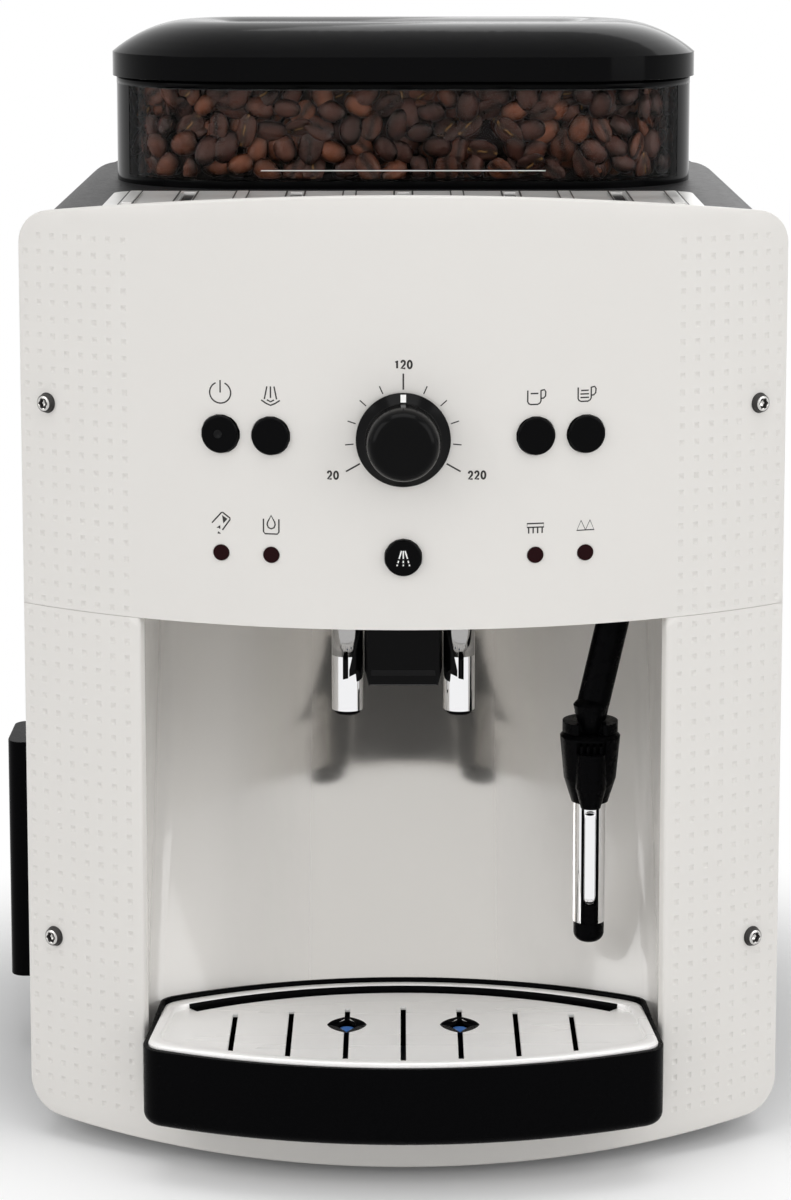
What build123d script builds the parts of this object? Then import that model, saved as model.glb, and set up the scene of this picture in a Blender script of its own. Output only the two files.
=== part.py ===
from build123d import *
from math import asin, atan2, cos, degrees, pi, radians, sin, sqrt
import os

os.makedirs("parts", exist_ok=True)

# Frame: +Z up, +Y to the back, +X to the user's right. The origin lies on the table,
# on the machine's centre plane. Every length is in millimetres.

# Driving dimensions of the whole machine
BODY_WIDTH = 237.0
PANEL_OVERHANG = 4.0
WIDTH = BODY_WIDTH + 2 * PANEL_OVERHANG
BODY_REAR = 155.0
REAR_CORNER = 33.0
SPLIT_Y = 71.0
FOOT_HEIGHT = 4.0
BASE_TOP = 19.2
DECK_Z = 305.0
COVER_HEIGHT = 25.0
REAR_STEP = 3.0
COVER_LOW = DECK_Z - COVER_HEIGHT
REAR_TOP = DECK_Z - REAR_STEP
SIDE_WALL = 2.5

# Clearances: seams between covers, running fits, sliding pieces, seats in one body
SEAM = 0.3
RUN_FIT = 0.05
SLIDE_GAP = 0.3
SEAT_GAP = 0.1
OVERRUN = 1.0

# Bowed front panels
PANEL_FRONT = -150.0
PANEL_RADIUS = 205.0
PANEL_WALL = 3.0
PANEL_LOW = 4.0
PANEL_RISE = 8.0
PANEL_TOP = DECK_Z + PANEL_RISE
PANEL_CORNER = 11.0
PANEL_TOP_BOW = 9.1
PANEL_BOTTOM_BOW = 5.2
PANEL_SEAM_Z = 178.0
ARC_Y = PANEL_FRONT + PANEL_RADIUS
BACK_RADIUS = PANEL_RADIUS - PANEL_WALL - SEAM

# Cup niche
NICHE_WIDTH = 166.0
NICHE_KNEE_Z = 45.0
NICHE_LOW_BACK = -90.0
NICHE_LOW_CORNER_Y = -111.0
NICHE_TOP_BACK = -25.5
NICHE_TOP_CORNER_Y = -27.0
NICHE_CORNER = 8.0
NICHE_WALL = 2.5
NICHE_MOUTH = -165.0

# Base pan and feet
BASE_WALL = 3.0
BASE_EDGE = 11.0
BASE_SETBACK = 8.0
BASE_RIB = 2.0
BASE_RIB_PITCH = 62.0
FOOT_RADIUS = 9.0
FOOT_STEM = 3.0
FOOT_STEM_LENGTH = 6.0
FOOT_BOSS = 7.0
FOOT_INSET = 26.5
FOOT_X = BODY_WIDTH / 2 - FOOT_INSET
FOOT_FRONT_Y = -98.0
FOOT_REAR_Y = 122.0
FOOT_SPOTS = [(x, y) for x in (-FOOT_X, FOOT_X) for y in (FOOT_FRONT_Y, FOOT_REAR_Y)]

# Panel screws and the bosses that take them
SCREW_INSET = 5.5
SCREW_X = BODY_WIDTH / 2 - SCREW_INSET
SCREW_ZS = (69.0, 244.0)
SCREW_HEAD = 3.2
SCREW_HEAD_HEIGHT = 1.8
SCREW_SHANK = 1.5
SCREW_LENGTH = 10.0
SCREW_SOCKET = 1.1
SCREW_HOLE = SCREW_SHANK + SEAT_GAP
BOSS_WIDTH = 13.0
BOSS_DEPTH = 13.0
BOSS_HEIGHT = 9.0

# Controls on the fascia
BUTTON_RISE = 60.4
BUTTON_Z = PANEL_SEAM_Z + BUTTON_RISE
BUTTON_RADIUS = 5.9
OUTER_BUTTON_X = 56.6
INNER_BUTTON_X = 40.9
LENS_RISE = 23.0
RINSE_Z = PANEL_SEAM_Z + LENS_RISE
RINSE_RADIUS = 5.7
BUTTON_PROUD = 1.6
BUTTON_EDGE = 0.7
BUTTON_FLANGE = 1.3
BUTTON_FLANGE_WALL = 1.4
BUTTON_STEM = 2.4
BUTTON_TRAVEL = 2.0
BUTTON_REST_GAP = 1.0
BUTTON_GAP = 0.25
LENS_Z = PANEL_SEAM_Z + LENS_RISE
LENS_RADIUS = 2.5
LENS_PROUD = 0.4
LENS_PIPE = 1.6
LENS_XS = (-OUTER_BUTTON_X, -INNER_BUTTON_X, INNER_BUTTON_X, OUTER_BUTTON_X)
BUTTONS = (
    ("power_button", -OUTER_BUTTON_X, BUTTON_Z, BUTTON_RADIUS),
    ("steam_button", -INNER_BUTTON_X, BUTTON_Z, BUTTON_RADIUS),
    ("one_cup_button", INNER_BUTTON_X, BUTTON_Z, BUTTON_RADIUS),
    ("two_cup_button", OUTER_BUTTON_X, BUTTON_Z, BUTTON_RADIUS),
    ("rinse_button", 0.0, RINSE_Z, RINSE_RADIUS),
)
KNOB_RISE = 60.0
KNOB_Z = PANEL_SEAM_Z + KNOB_RISE
KNOB_SKIRT = 14.6
KNOB_SKIRT_EDGE = 1.4
KNOB_SKIRT_HEIGHT = 4.6
KNOB_CAP = 11.7
KNOB_CAP_TOP = 10.9
KNOB_HEIGHT = 16.0
KNOB_EDGE = 3.6
KNOB_LIFT = 0.7
KNOB_STEM = 3.0
POINTER_WIDTH = 1.8
POINTER_MARGIN = 0.4
POINTER_DEPTH = 0.8

# Control board behind the fascia
BOARD_FRONT = -118.0
BOARD_WALL = 1.6
BOARD_WIDTH = 152.0
BOARD_RISE = 12.0
BOARD_HEIGHT = 82.0
BOARD_LOW = PANEL_SEAM_Z + BOARD_RISE
BOARD_HIGH = BOARD_LOW + BOARD_HEIGHT
POT_SIZE = 17.0
POT_DEPTH = 10.0
POT_BORE_DEPTH = 8.0
SWITCH_SIZE = 7.0
SWITCH_HEIGHT = 4.3
POST_RADIUS = 3.2
POST_X = 70.0
POST_INSET = 5.0

# Spout
NOZZLE_X = 18.1
NOZZLE_RADIUS = 5.1
NOZZLE_BORE = 4.4
NOZZLE_Y = -105.0
NOZZLE_DROP = 36.0
NOZZLE_LOW = PANEL_SEAM_Z - NOZZLE_DROP
TIP_DROP = 1.5
TIP_HEIGHT = 9.0
TIP_BORE = 2.2
TIP_EDGE = 0.8
SPOUT_TRAVEL = 45.0
SPOUT_HALF = 12.5
SPOUT_CHIN_HALF = 11.2
SPOUT_CHIN_HEIGHT = 5.7
SPOUT_CHIN_SETBACK = 1.4
SPOUT_EDGE = 2.5
SPOUT_RIM = 0.4
SPOUT_FRONT = -112.0
SPOUT_BACK = -76.0
SPOUT_DROP = 27.4
SPOUT_LOW = PANEL_SEAM_Z - SPOUT_DROP
SPOUT_ENGAGED = 13.0
SPOUT_TOP = PANEL_SEAM_Z + SPOUT_TRAVEL + SPOUT_ENGAGED
SPOUT_NOSE = 7.0
BRIDGE_HEIGHT = 10.0
RUNNER_HALF = 23.5
RUNNER_HEIGHT = 40.0
SPOUT_HOLE_HALF = 24.0
SPOUT_HOLE_FRONT = -118.0
SPOUT_HOLE_BACK = -72.0
GUIDE_WALL = 2.0
GUIDE_ROOM = 26.0
GUIDE_TOP = SPOUT_TOP + GUIDE_ROOM
GUIDE_FRONT = -100.0

# Steam wand
PIVOT_INSET = 10.6
PIVOT_X = NICHE_WIDTH / 2 - PIVOT_INSET
PIVOT_Y = -105.0
PIVOT_RISE = 13.5
PIVOT_Z = PANEL_SEAM_Z + PIVOT_RISE
PIN_RADIUS = 3.0
BARREL_RADIUS = 8.0
BARREL_LENGTH = 20.0
ARM_RADIUS = 5.25
WAND_OFFSET = 11.7
WAND_X = PIVOT_X - WAND_OFFSET
ARM_LOW = 139.5
ELBOW_TOP = 146.0
ELBOW_TOP_RADIUS = 5.6
ELBOW_LOW_RADIUS = 3.6
ELBOW_SHIFT = 1.6
ELBOW_DOME = 2.4
SHIELD_RADIUS = 9.0
SHIELD_WALL = 3.4
SHIELD_EDGE = 1.2
SHIELD_NOTCH = 7.0
SHIELD_NOTCH_REACH = 4.6
COLLAR_TOP = 134.6
COLLAR_RADIUS = 9.8
COLLAR_EDGE = 1.2
COLLAR_STEP_Z = 119.2
COLLAR_STEP_RADIUS = 8.5
COLLAR_LOW = 111.2
COLLAR_LOW_RADIUS = 6.0
INTAKE_RADIUS = 5.0
INTAKE_TOP = 128.7
INTAKE_STEP_Z = 117.0
INTAKE_LOW = 110.4
INTAKE_TAPER = 15.0
INTAKE_REACH = 6.0
POCKET_WIDTH = 9.4
POCKET_TOP = 132.6
POCKET_DEPTH = 4.6
POCKET_FINS = 4
POCKET_FIN_WIDTH = 0.9
POCKET_FIN_PITCH = 2.1
POCKET_FIN_HEIGHT = 2.6
POCKET_FIN_DEPTH = 3.2
SPIGOT_RADIUS = 3.0
SPIGOT_LENGTH = 18.0
TUBE_RADIUS = 5.3
TUBE_WALL = 0.8
TUBE_LOW = 71.0
TUBE_SLOT_WIDTH = 4.2
TUBE_SLOT_TOP = 109.0
TUBE_SLOT_LOW = 76.0
CORE_RADIUS = 4.4
WAND_TIP = 64.0
WAND_TIP_RADIUS = 5.0
WAND_TIP_EDGE = 3.2
WAND_BORE = 1.2
ARM_SLOT_HALF = 7.4
ARM_SLOT_OFFSET = 2.4
ARM_SLOT_X = PIVOT_X - ARM_SLOT_OFFSET
ARM_SLOT_FRONT = -122.5
ARM_SLOT_BACK = -98.0
BRACKET_WALL = 2.5
BRACKET_MARGIN = 6.0
EAR_WALL = 3.0
EAR_HALF = 7.0
EAR_RISE = 7.5
EAR_TOP = PIVOT_Z + EAR_RISE

# Drip tray, grid and float
TRAY_LOW = BASE_TOP + SLIDE_GAP
TRAY_TOP = 45.0
TRAY_SIDE_GAP = 0.6
TRAY_TAPER = 3.4
TRAY_HALF = NICHE_WIDTH / 2 - TRAY_SIDE_GAP
TRAY_FRONT = -173.4
TRAY_SHOULDER_Y = -155.0
TRAY_BACK_HALF = TRAY_HALF - TRAY_TAPER
TRAY_BACK_CORNER_Y = -113.0
TRAY_BACK = -92.5
TRAY_FRONT_CORNER = 8.0
TRAY_BACK_CORNER = 6.0
TRAY_WALL = 3.2
TRAY_FLOOR = 2.5
TRAY_EDGE = 4.0
GRID_INSET = 1.7
GRID_WALL = 1.2
GRID_DEPTH = 1.8
GRID_RIM_HEIGHT = 2.2
GRID_RIM_WIDTH = 1.5
SLOT_PITCH = 18.1
SLOT_WIDTH = 1.7
SLOT_COUNT = 7
SLOT_MID_Y = -139.0
SLOT_LENGTHS = (36.0, 42.0, 46.0, 50.0)
STAR_HALF_WIDTH = 6.0
STAR_HALF_LENGTH = 7.2
STAR_WAIST = 2.6
STAR_Y = -131.0
FLOAT_TRAVEL = 8.0
FLOAT_LENGTH = 64.0
FLOAT_WIDTH = 14.0
FLOAT_STEM = 2.2

# Grounds drawer on the left
DRAWER_HALF = 45.0
DRAWER_TOP = 115.0
DRAWER_END = 38.0
DRAWER_WALL = 2.0
DRAWER_FRONT_WALL = 3.0
DRAWER_BIN_TOP = 111.0
DRAWER_CORNER = 9.0
HANDLE_REACH = 19.1
HANDLE_FRONT = -35.0
HANDLE_BACK = -5.0
HANDLE_LOW = 28.0
HANDLE_TOP = 112.0
HANDLE_WALL = 3.2
HANDLE_EDGE = 5.0

# Top cover and cup plate
COVER_WALL = 3.0
COVER_EDGE = 13.0
PLATE_INSET = 22.5
PLATE_HALF = BODY_WIDTH / 2 - PLATE_INSET
PLATE_BACK = -51.0
PLATE_MARGIN = 5.0
PLATE_CORNER = 8.0
PLATE_WALL = 1.0
PLATE_SINK = 0.4
PLATE_SLOT_COUNT = 5
PLATE_SLOT_INSET = 25.2
PLATE_SLOT_PITCH = (PLATE_HALF - PLATE_SLOT_INSET) / (PLATE_SLOT_COUNT // 2)
PLATE_SLOT_WIDTH = 4.0
PLATE_SLOT_LENGTH = 44.0
PLATE_SLOT_BACK = -57.0
PLATE_RIB_WIDTH = 3.4
PLATE_RIB_HEIGHT = 0.8

# Bean hopper
HOPPER_WIDTH = 200.0
HOPPER_DEPTH = 98.0
HOPPER_CORNER = 45.0
HOPPER_Y = 9.0
HOPPER_WALL = 2.5
HOPPER_HEIGHT = 36.0
HOPPER_TOP = DECK_Z + HOPPER_HEIGHT
HOPPER_FLANGE = 2.5
HOPPER_NECK_INSET = 5.0
WINDOW_HALF = 94.0
THROAT_SIZE = 46.0
THROAT_CORNER = 22.0
THROAT_DROP = 32.7
THROAT_Z = DECK_Z - THROAT_DROP
FILL_DROP = 3.6
FILL_TOP = HOPPER_TOP - FILL_DROP
FILL_GAP = 0.4
ADJUST_X = 46.0
ADJUST_RADIUS = 13.0
ADJUST_STEM = 3.0
ADJUST_BOSS = 7.0
ADJUST_BOSS_HEIGHT = 18.0
ADJUST_SINK = 5.0
ADJUST_BOSS_TOP = DECK_Z - ADJUST_SINK
ADJUST_BOSS_LOW = ADJUST_BOSS_TOP - ADJUST_BOSS_HEIGHT
ADJUST_HEIGHT = 15.0
ADJUST_GRIP_WIDTH = 4.0
ADJUST_GRIP_HEIGHT = 5.0
LID_GAP = 0.3
LID_WIDTH = 202.6
LID_DEPTH = 104.0
LID_CORNER = 47.0
LID_RIM = 8.2
LID_SHOULDER = 6.0
LID_CROWN = 3.5
LID_SHOULDER_INSET = 9.0
LID_CROWN_INSET = 40.0
LID_WALL = 3.0
LID_POCKET = 6.0
SEAL_INSET = 3.0
SEAL_WIDTH = 3.0
SEAL_DROP = 3.0

# Grinder under the hopper
SHELF_DROP = 89.0
SHELF_Z = DECK_Z - SHELF_DROP
SHELF_WALL = 3.0
GRINDER_Z = SHELF_Z + SHELF_WALL
GEAR_MODULE = 1.25
GEAR_TEETH = 60
PINION_TEETH = 12
GEAR_WIDTH = 7.0
TOOTH_ROOT_SHARE = 1.3
TOOTH_TIP_SHARE = 0.8
TOOTH_ROOT_WIDTH_SHARE = 0.56
TOOTH_TIP_WIDTH_SHARE = 0.22
GEAR_RADIUS = GEAR_MODULE * GEAR_TEETH / 2
PINION_RADIUS = GEAR_MODULE * PINION_TEETH / 2
PINION_X = -(GEAR_RADIUS + PINION_RADIUS)
GEARBOX_WALL = 3.0
GEARBOX_GAP = 1.2
GEARBOX_HEIGHT = 17.0
BURR_SHAFT = 5.0
BURR_RISE = 23.0
BURR_LOW = GRINDER_Z + BURR_RISE
BURR_HEIGHT = 20.0
BURR_LOW_RADIUS = 19.0
BURR_TOP_RADIUS = 7.0
BURR_GAP = 0.6
BURR_FLUTES = 10
BURR_FLUTE_WIDTH = 2.0
BURR_FLUTE_DEPTH = 2.4
BURR_FLUTE_LEAN = 18.0
RING_RADIUS = 24.2
CUP_RADIUS = 27.0
CUP_WALL = 2.5
CUP_TOP = THROAT_Z - SEAM
CHUTE_WIDTH = 16.0
CHUTE_HEIGHT = 4.0
MOTOR_RADIUS = 16.0
MOTOR_HEIGHT = 32.0
MOTOR_CAP = 4.0
MOTOR_SHAFT = 1.6

# Brew group
BREW_Y = 10.0
BREW_LOW = 122.0
BREW_PLATE = 4.0
BREW_HEIGHT = 88.0
CHAMBER_RADIUS = 26.5
CHAMBER_BORE = 22.0
CHAMBER_HEIGHT = 44.0
PISTON_HEIGHT = 9.0
PISTON_GAP = 0.1
PISTON_ROD = 6.0
BREW_LEFT = -32.0
SPINDLE_X = 56.0
SPINDLE_RADIUS = 4.0
NUT_RADIUS = 8.0
NUT_HEIGHT = 9.0
ARM_WIDTH = 9.0
BREW_MARGIN = 13.0
BREW_RIGHT = SPINDLE_X + BREW_MARGIN
BREW_FRONT = -18.0
BREW_MOTOR_RADIUS = 12.0
BREW_MOTOR_HEIGHT = 34.0

# Bulkhead that carries the inner units
BULKHEAD_WALL = 3.0
BULKHEAD_REAR = SPLIT_Y - 2 * SEAM
BULKHEAD_FRONT = BULKHEAD_REAR - BULKHEAD_WALL

# Thermoblock, pump and main board
HEATER_INSET = 42.5
HEATER_X = BODY_WIDTH / 2 - HEATER_INSET
HEATER_WIDTH = 36.0
HEATER_FRONT = -18.0
HEATER_DEPTH = 58.0
HEATER_LOW = 120.0
HEATER_HEIGHT = 74.0
HEATER_FIN = 3.0
HEATER_FINS = 6
HEATER_EDGE = 4.0
HEATER_PIPE = 3.0
HEATER_PIPE_LENGTH = 8.0
PUMP_INSET = 38.5
PUMP_X = BODY_WIDTH / 2 - PUMP_INSET
PUMP_Z = 46.0
PUMP_COIL = 42.0
PUMP_COIL_FRONT = -18.0
PUMP_COIL_DEPTH = 44.0
PUMP_END_RADIUS = 11.0
PUMP_END_LENGTH = 20.0
PUMP_NOZZLE = 4.0
PUMP_NOZZLE_LENGTH = 9.0
PUMP_MOUNT_WIDTH = 34.0
PUMP_MOUNT_DEPTH = 12.0
MAIN_BOARD_INSET = 6.5
MAIN_BOARD_WIDTH = 60.0
MAIN_BOARD_LEFT = -BODY_WIDTH / 2 + MAIN_BOARD_INSET
MAIN_BOARD_RIGHT = MAIN_BOARD_LEFT + MAIN_BOARD_WIDTH
MAIN_BOARD_LOW = 128.0
MAIN_BOARD_HIGH = 202.0
MAIN_BOARD_FRONT = 60.0
TRANSFORMER_SIZE = 26.0
TRANSFORMER_HEIGHT = 20.0
RELAY_WIDTH = 13.0
RELAY_LENGTH = 16.0
RELAY_HEIGHT = 14.0
RELAY_PITCH = 16.0
RELAY_COUNT = 3
CAPACITOR_RADIUS = 6.0
STANDOFF_RADIUS = 3.0
STANDOFF_INSET = 6.0

# Rear housing, tank well and water tank
WELL_INSET = 31.5
WELL_HALF = BODY_WIDTH / 2 - WELL_INSET
WELL_FRONT = 79.0
WELL_BACK_WALL = 4.0
WELL_BACK = BODY_REAR - WELL_BACK_WALL
WELL_FLOOR = 62.5
WELL_CORNER = 11.0
TANK_GAP = 1.2
TANK_WALL = 2.2
TANK_DROP = 11.0
TANK_TOP = REAR_TOP - TANK_DROP
TANK_SEAT_GAP = 0.3
TANK_DRAFT = 1.0
LID_PLATE = 2.5
LID_SKIRT_BACK = 140.0
LID_SKIRT_WALL = 2.0
LID_ROUND = 2.0
LID_HEEL_CORNER = 16.0
TANK_LID_GAP = 0.6
HINGE_DROP = 3.0
HINGE_INSET = 2.0
HINGE_PIN = 1.3
HINGE_EAR = 2.8
HINGE_EAR_WALL = 4.0
HINGE_SPREAD = 27.0
HINGE_X = WELL_HALF - HINGE_SPREAD
VALVE_X = 50.0
VALVE_Y = 112.0
VALVE_RADIUS = 7.0
VALVE_DROP = 6.0
VALVE_FLANGE = 10.0
VALVE_FLANGE_WALL = 3.0
PORT_GAP = 0.6
VENT_COUNT = 8
VENT_WIDTH = 3.0
VENT_HEIGHT = 22.0
VENT_PITCH = 8.0
VENT_X = -50.0
VENT_Z = 40.0
INLET_INSET = 46.5
INLET_X = BODY_WIDTH / 2 - INLET_INSET
INLET_Z = 40.0
INLET_WIDTH = 30.0
INLET_HEIGHT = 22.0
INLET_DEPTH = 20.0
INLET_FLANGE = 3.0
INLET_FLANGE_WALL = 1.5
INLET_WALL = 2.5
INLET_RECESS = 15.0
INLET_PIN_LENGTH = 9.0
INLET_PIN_WIDTH = 2.0
INLET_PIN_HEIGHT = 4.0
INLET_PIN_PITCH = 7.0


def plan_y(x, radius):
    """Y of the bowed front at the distance x from the centre plane."""
    return ARC_Y - sqrt(radius**2 - x**2)


def face_plane(x, z):
    """Plane that touches the bowed front at (x, z), with its normal to the outside."""
    turn = asin(x / PANEL_RADIUS)
    return Plane(
        origin=(x, plan_y(x, PANEL_RADIUS), z),
        x_dir=(cos(turn), sin(turn), 0),
        z_dir=(sin(turn), -cos(turn), 0),
    )


def span(low_x, high_x, low_y, high_y, mode=Mode.ADD):
    """Rectangle between two corners of the open sketch."""
    with Locations(((low_x + high_x) / 2, (low_y + high_y) / 2)):
        Rectangle(high_x - low_x, high_y - low_y, mode=mode)


def body_outline(inset, front_radius, rear, corner):
    """Plan of the body: bowed front, straight sides, round corners at the rear."""
    half = BODY_WIDTH / 2 - inset
    front = plan_y(half, front_radius)
    with BuildSketch() as plan:
        with BuildLine():
            ThreePointArc((-half, front), (0, plan_y(0, front_radius)), (half, front))
            Line((half, front), (half, rear))
            Line((half, rear), (-half, rear))
            Line((-half, rear), (-half, front))
        make_face()
        if corner > 0:
            fillet(plan.vertices().group_by(Axis.Y)[-1], corner)
    return plan.sketch


def panel_plan():
    """Plan of the front panels: a sheet bent to one radius."""
    half = WIDTH / 2
    inner = PANEL_RADIUS - PANEL_WALL
    with BuildSketch() as plan:
        with BuildLine():
            ThreePointArc(
                (-half, plan_y(half, PANEL_RADIUS)),
                (0, plan_y(0, PANEL_RADIUS)),
                (half, plan_y(half, PANEL_RADIUS)),
            )
            Line((half, plan_y(half, PANEL_RADIUS)), (half, plan_y(half, inner)))
            ThreePointArc(
                (half, plan_y(half, inner)), (0, plan_y(0, inner)), (-half, plan_y(half, inner))
            )
            Line((-half, plan_y(half, inner)), (-half, plan_y(half, PANEL_RADIUS)))
        make_face()
    return plan.sketch


def panel_front():
    """Front view of both panels together, with bowed top and bottom edges."""
    half = WIDTH / 2
    low, high = PANEL_LOW + PANEL_BOTTOM_BOW, PANEL_TOP - PANEL_TOP_BOW
    with BuildSketch() as front:
        with BuildLine():
            ThreePointArc((-half, low), (0, PANEL_LOW), (half, low))
            Line((half, low), (half, high))
            ThreePointArc((half, high), (0, PANEL_TOP), (-half, high))
            Line((-half, high), (-half, low))
        make_face()
        fillet(front.vertices(), PANEL_CORNER)
    return front.sketch


def niche_outline(back, corner_y, grow):
    """Plan of the cup niche at one height, open to the front."""
    half = NICHE_WIDTH / 2 + grow
    with BuildSketch() as plan:
        with BuildLine():
            Line((-half, NICHE_MOUTH), (half, NICHE_MOUTH))
            Line((half, NICHE_MOUTH), (half, corner_y + grow))
            ThreePointArc((half, corner_y + grow), (0, back + grow), (-half, corner_y + grow))
            Line((-half, corner_y + grow), (-half, NICHE_MOUTH))
        make_face()
        fillet(plan.vertices().group_by(Axis.Y)[-1], NICHE_CORNER + grow)
    return plan.sketch


def tray_outline(inset):
    """Plan of the drip tray: bowed front, sides that taper, bowed back."""
    half, back_half = TRAY_HALF - inset, TRAY_BACK_HALF - inset
    front, shoulder = TRAY_FRONT + inset, TRAY_SHOULDER_Y + inset
    back, back_corner = TRAY_BACK - inset, TRAY_BACK_CORNER_Y - inset
    with BuildSketch() as plan:
        with BuildLine():
            ThreePointArc((-half, shoulder), (0, front), (half, shoulder))
            Line((half, shoulder), (back_half, back_corner))
            ThreePointArc((back_half, back_corner), (0, back), (-back_half, back_corner))
            Line((-back_half, back_corner), (-half, shoulder))
        make_face()
        fillet(plan.vertices().group_by(Axis.Y)[0], TRAY_FRONT_CORNER - inset)
        fillet(plan.vertices().group_by(Axis.Y)[-1], TRAY_BACK_CORNER - inset)
    return plan.sketch


def hopper_ring(inset):
    """Plan of the hopper wall, drawn in by inset."""
    with BuildSketch() as plan:
        with Locations((0, HOPPER_Y)):
            RectangleRounded(
                HOPPER_WIDTH - 2 * inset, HOPPER_DEPTH - 2 * inset, HOPPER_CORNER - inset
            )
    return plan.sketch


def throat_ring(inset):
    """Plan of the hopper's outlet, drawn in by inset."""
    with BuildSketch() as plan:
        with Locations((0, HOPPER_Y)):
            RectangleRounded(
                THROAT_SIZE - 2 * inset, THROAT_SIZE - 2 * inset, THROAT_CORNER - inset
            )
    return plan.sketch


def lid_ring(inset):
    """Plan of the hopper lid, drawn in by inset."""
    with BuildSketch() as plan:
        with Locations((0, HOPPER_Y)):
            RectangleRounded(LID_WIDTH - 2 * inset, LID_DEPTH - 2 * inset, LID_CORNER - inset)
    return plan.sketch


def plate_outline(inset):
    """Plan of the cup plate: straight back and ends, front bowed like the panel."""
    half = PLATE_HALF - inset
    radius = BACK_RADIUS - PLATE_MARGIN - inset
    with BuildSketch() as plan:
        with BuildLine():
            ThreePointArc(
                (-half, plan_y(half, radius)), (0, plan_y(0, radius)), (half, plan_y(half, radius))
            )
            Line((half, plan_y(half, radius)), (half, PLATE_BACK - inset))
            Line((half, PLATE_BACK - inset), (-half, PLATE_BACK - inset))
            Line((-half, PLATE_BACK - inset), (-half, plan_y(half, radius)))
        make_face()
        fillet(plan.vertices().group_by(Axis.Y)[-1], PLATE_CORNER - inset)
    return plan.sketch


def gearbox_outline(grow):
    """Plan of the room round gear and pinion, grown by a wall."""
    room = GEARBOX_GAP + GEAR_MODULE + grow
    with BuildSketch() as plan:
        with Locations((0, HOPPER_Y)):
            Circle(GEAR_RADIUS + room)
        with Locations((PINION_X, HOPPER_Y)):
            Circle(PINION_RADIUS + room)
        make_hull()
    return plan.sketch


def gear_outline(teeth, phase):
    """Spur gear with straight flanks, its first tooth turned by phase degrees."""
    pitch = GEAR_MODULE * teeth / 2
    root = pitch - GEAR_MODULE * TOOTH_ROOT_SHARE
    tip = pitch + GEAR_MODULE * TOOTH_TIP_SHARE
    root_half = GEAR_MODULE * pi * TOOTH_ROOT_WIDTH_SHARE / 2
    tip_half = GEAR_MODULE * pi * TOOTH_TIP_WIDTH_SHARE / 2
    corners = []
    for tooth in range(teeth):
        turn = radians(phase + tooth * 360 / teeth)
        for radius, half in (
            (root, -root_half),
            (tip, -tip_half),
            (tip, tip_half),
            (root, root_half),
        ):
            corners.append(
                (
                    radius * cos(turn) - half * sin(turn),
                    radius * sin(turn) + half * cos(turn),
                )
            )
    with BuildSketch() as outline:
        with BuildLine():
            Polyline(*corners, close=True)
        make_face()
    return outline.sketch


def pointer_profile(proud):
    """Side view of the knob's pointer in its skirt, proud in front of the cone."""
    fall = (KNOB_SKIRT_HEIGHT - KNOB_LIFT - KNOB_SKIRT_EDGE) / (KNOB_SKIRT - KNOB_CAP)
    points = []
    for radius in (KNOB_CAP + POINTER_MARGIN, KNOB_SKIRT - POINTER_MARGIN):
        cone_y = PANEL_FRONT - KNOB_SKIRT_HEIGHT + (radius - KNOB_CAP) * fall
        points.append((cone_y - proud, KNOB_Z + radius))
        points.append((cone_y + POINTER_DEPTH, KNOB_Z + radius))
    with BuildSketch() as profile:
        with BuildLine():
            Polyline(points[0], points[1], points[3], points[2], close=True)
        make_face()
    return profile.sketch


def write(piece, name):
    """Label a finished piece and write it out under its name."""
    piece.part.label = name
    export_step(piece.part, f"parts/{name}.step")


# Base pan: round lower edges, ribbed from below, with a boss over each foot
base_radius = BACK_RADIUS - BASE_SETBACK
base_rim = BASE_EDGE + BASE_RIB
with BuildPart() as base_pan:
    with BuildSketch(Plane.XY.offset(FOOT_HEIGHT)):
        add(body_outline(0, base_radius, BODY_REAR, REAR_CORNER))
    extrude(amount=BASE_TOP - FOOT_HEIGHT)
    low_edges = base_pan.faces().sort_by(Axis.Z)[0].edges()
    fillet(low_edges.sort_by(Axis.Y)[1:], BASE_EDGE)
    with BuildSketch(Plane.XY.offset(FOOT_HEIGHT)):
        add(
            body_outline(
                base_rim, base_radius - base_rim, BODY_REAR - base_rim, REAR_CORNER - base_rim
            )
        )
    extrude(amount=BASE_TOP - FOOT_HEIGHT - BASE_WALL, mode=Mode.SUBTRACT)
    with BuildSketch(Plane.XY.offset(FOOT_HEIGHT)):
        with GridLocations(BASE_RIB_PITCH, BASE_RIB_PITCH, 3, 1):
            Rectangle(BASE_RIB, BODY_REAR * 4)
        with GridLocations(BASE_RIB_PITCH, BASE_RIB_PITCH, 1, 3):
            Rectangle(BODY_WIDTH * 2, BASE_RIB)
        with Locations(*FOOT_SPOTS):
            Circle(FOOT_BOSS)
        add(
            body_outline(BASE_EDGE, base_radius - BASE_EDGE, BODY_REAR - BASE_EDGE, REAR_CORNER),
            mode=Mode.INTERSECT,
        )
    extrude(amount=BASE_TOP - FOOT_HEIGHT - BASE_WALL)
    with BuildSketch(Plane.XY.offset(FOOT_HEIGHT)):
        with Locations(*FOOT_SPOTS):
            Circle(FOOT_STEM + SEAT_GAP)
    extrude(amount=FOOT_STEM_LENGTH + SEAM, mode=Mode.SUBTRACT)
write(base_pan, "base_pan")

# Four rubber feet, each with a stem pushed into its boss
with BuildPart() as rubber_feet:
    with BuildSketch():
        with Locations(*FOOT_SPOTS):
            Circle(FOOT_RADIUS)
    extrude(amount=FOOT_HEIGHT)
    with BuildSketch(Plane.XY.offset(FOOT_HEIGHT)):
        with Locations(*FOOT_SPOTS):
            Circle(FOOT_STEM)
    extrude(amount=FOOT_STEM_LENGTH)
write(rubber_feet, "rubber_feet")

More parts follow.
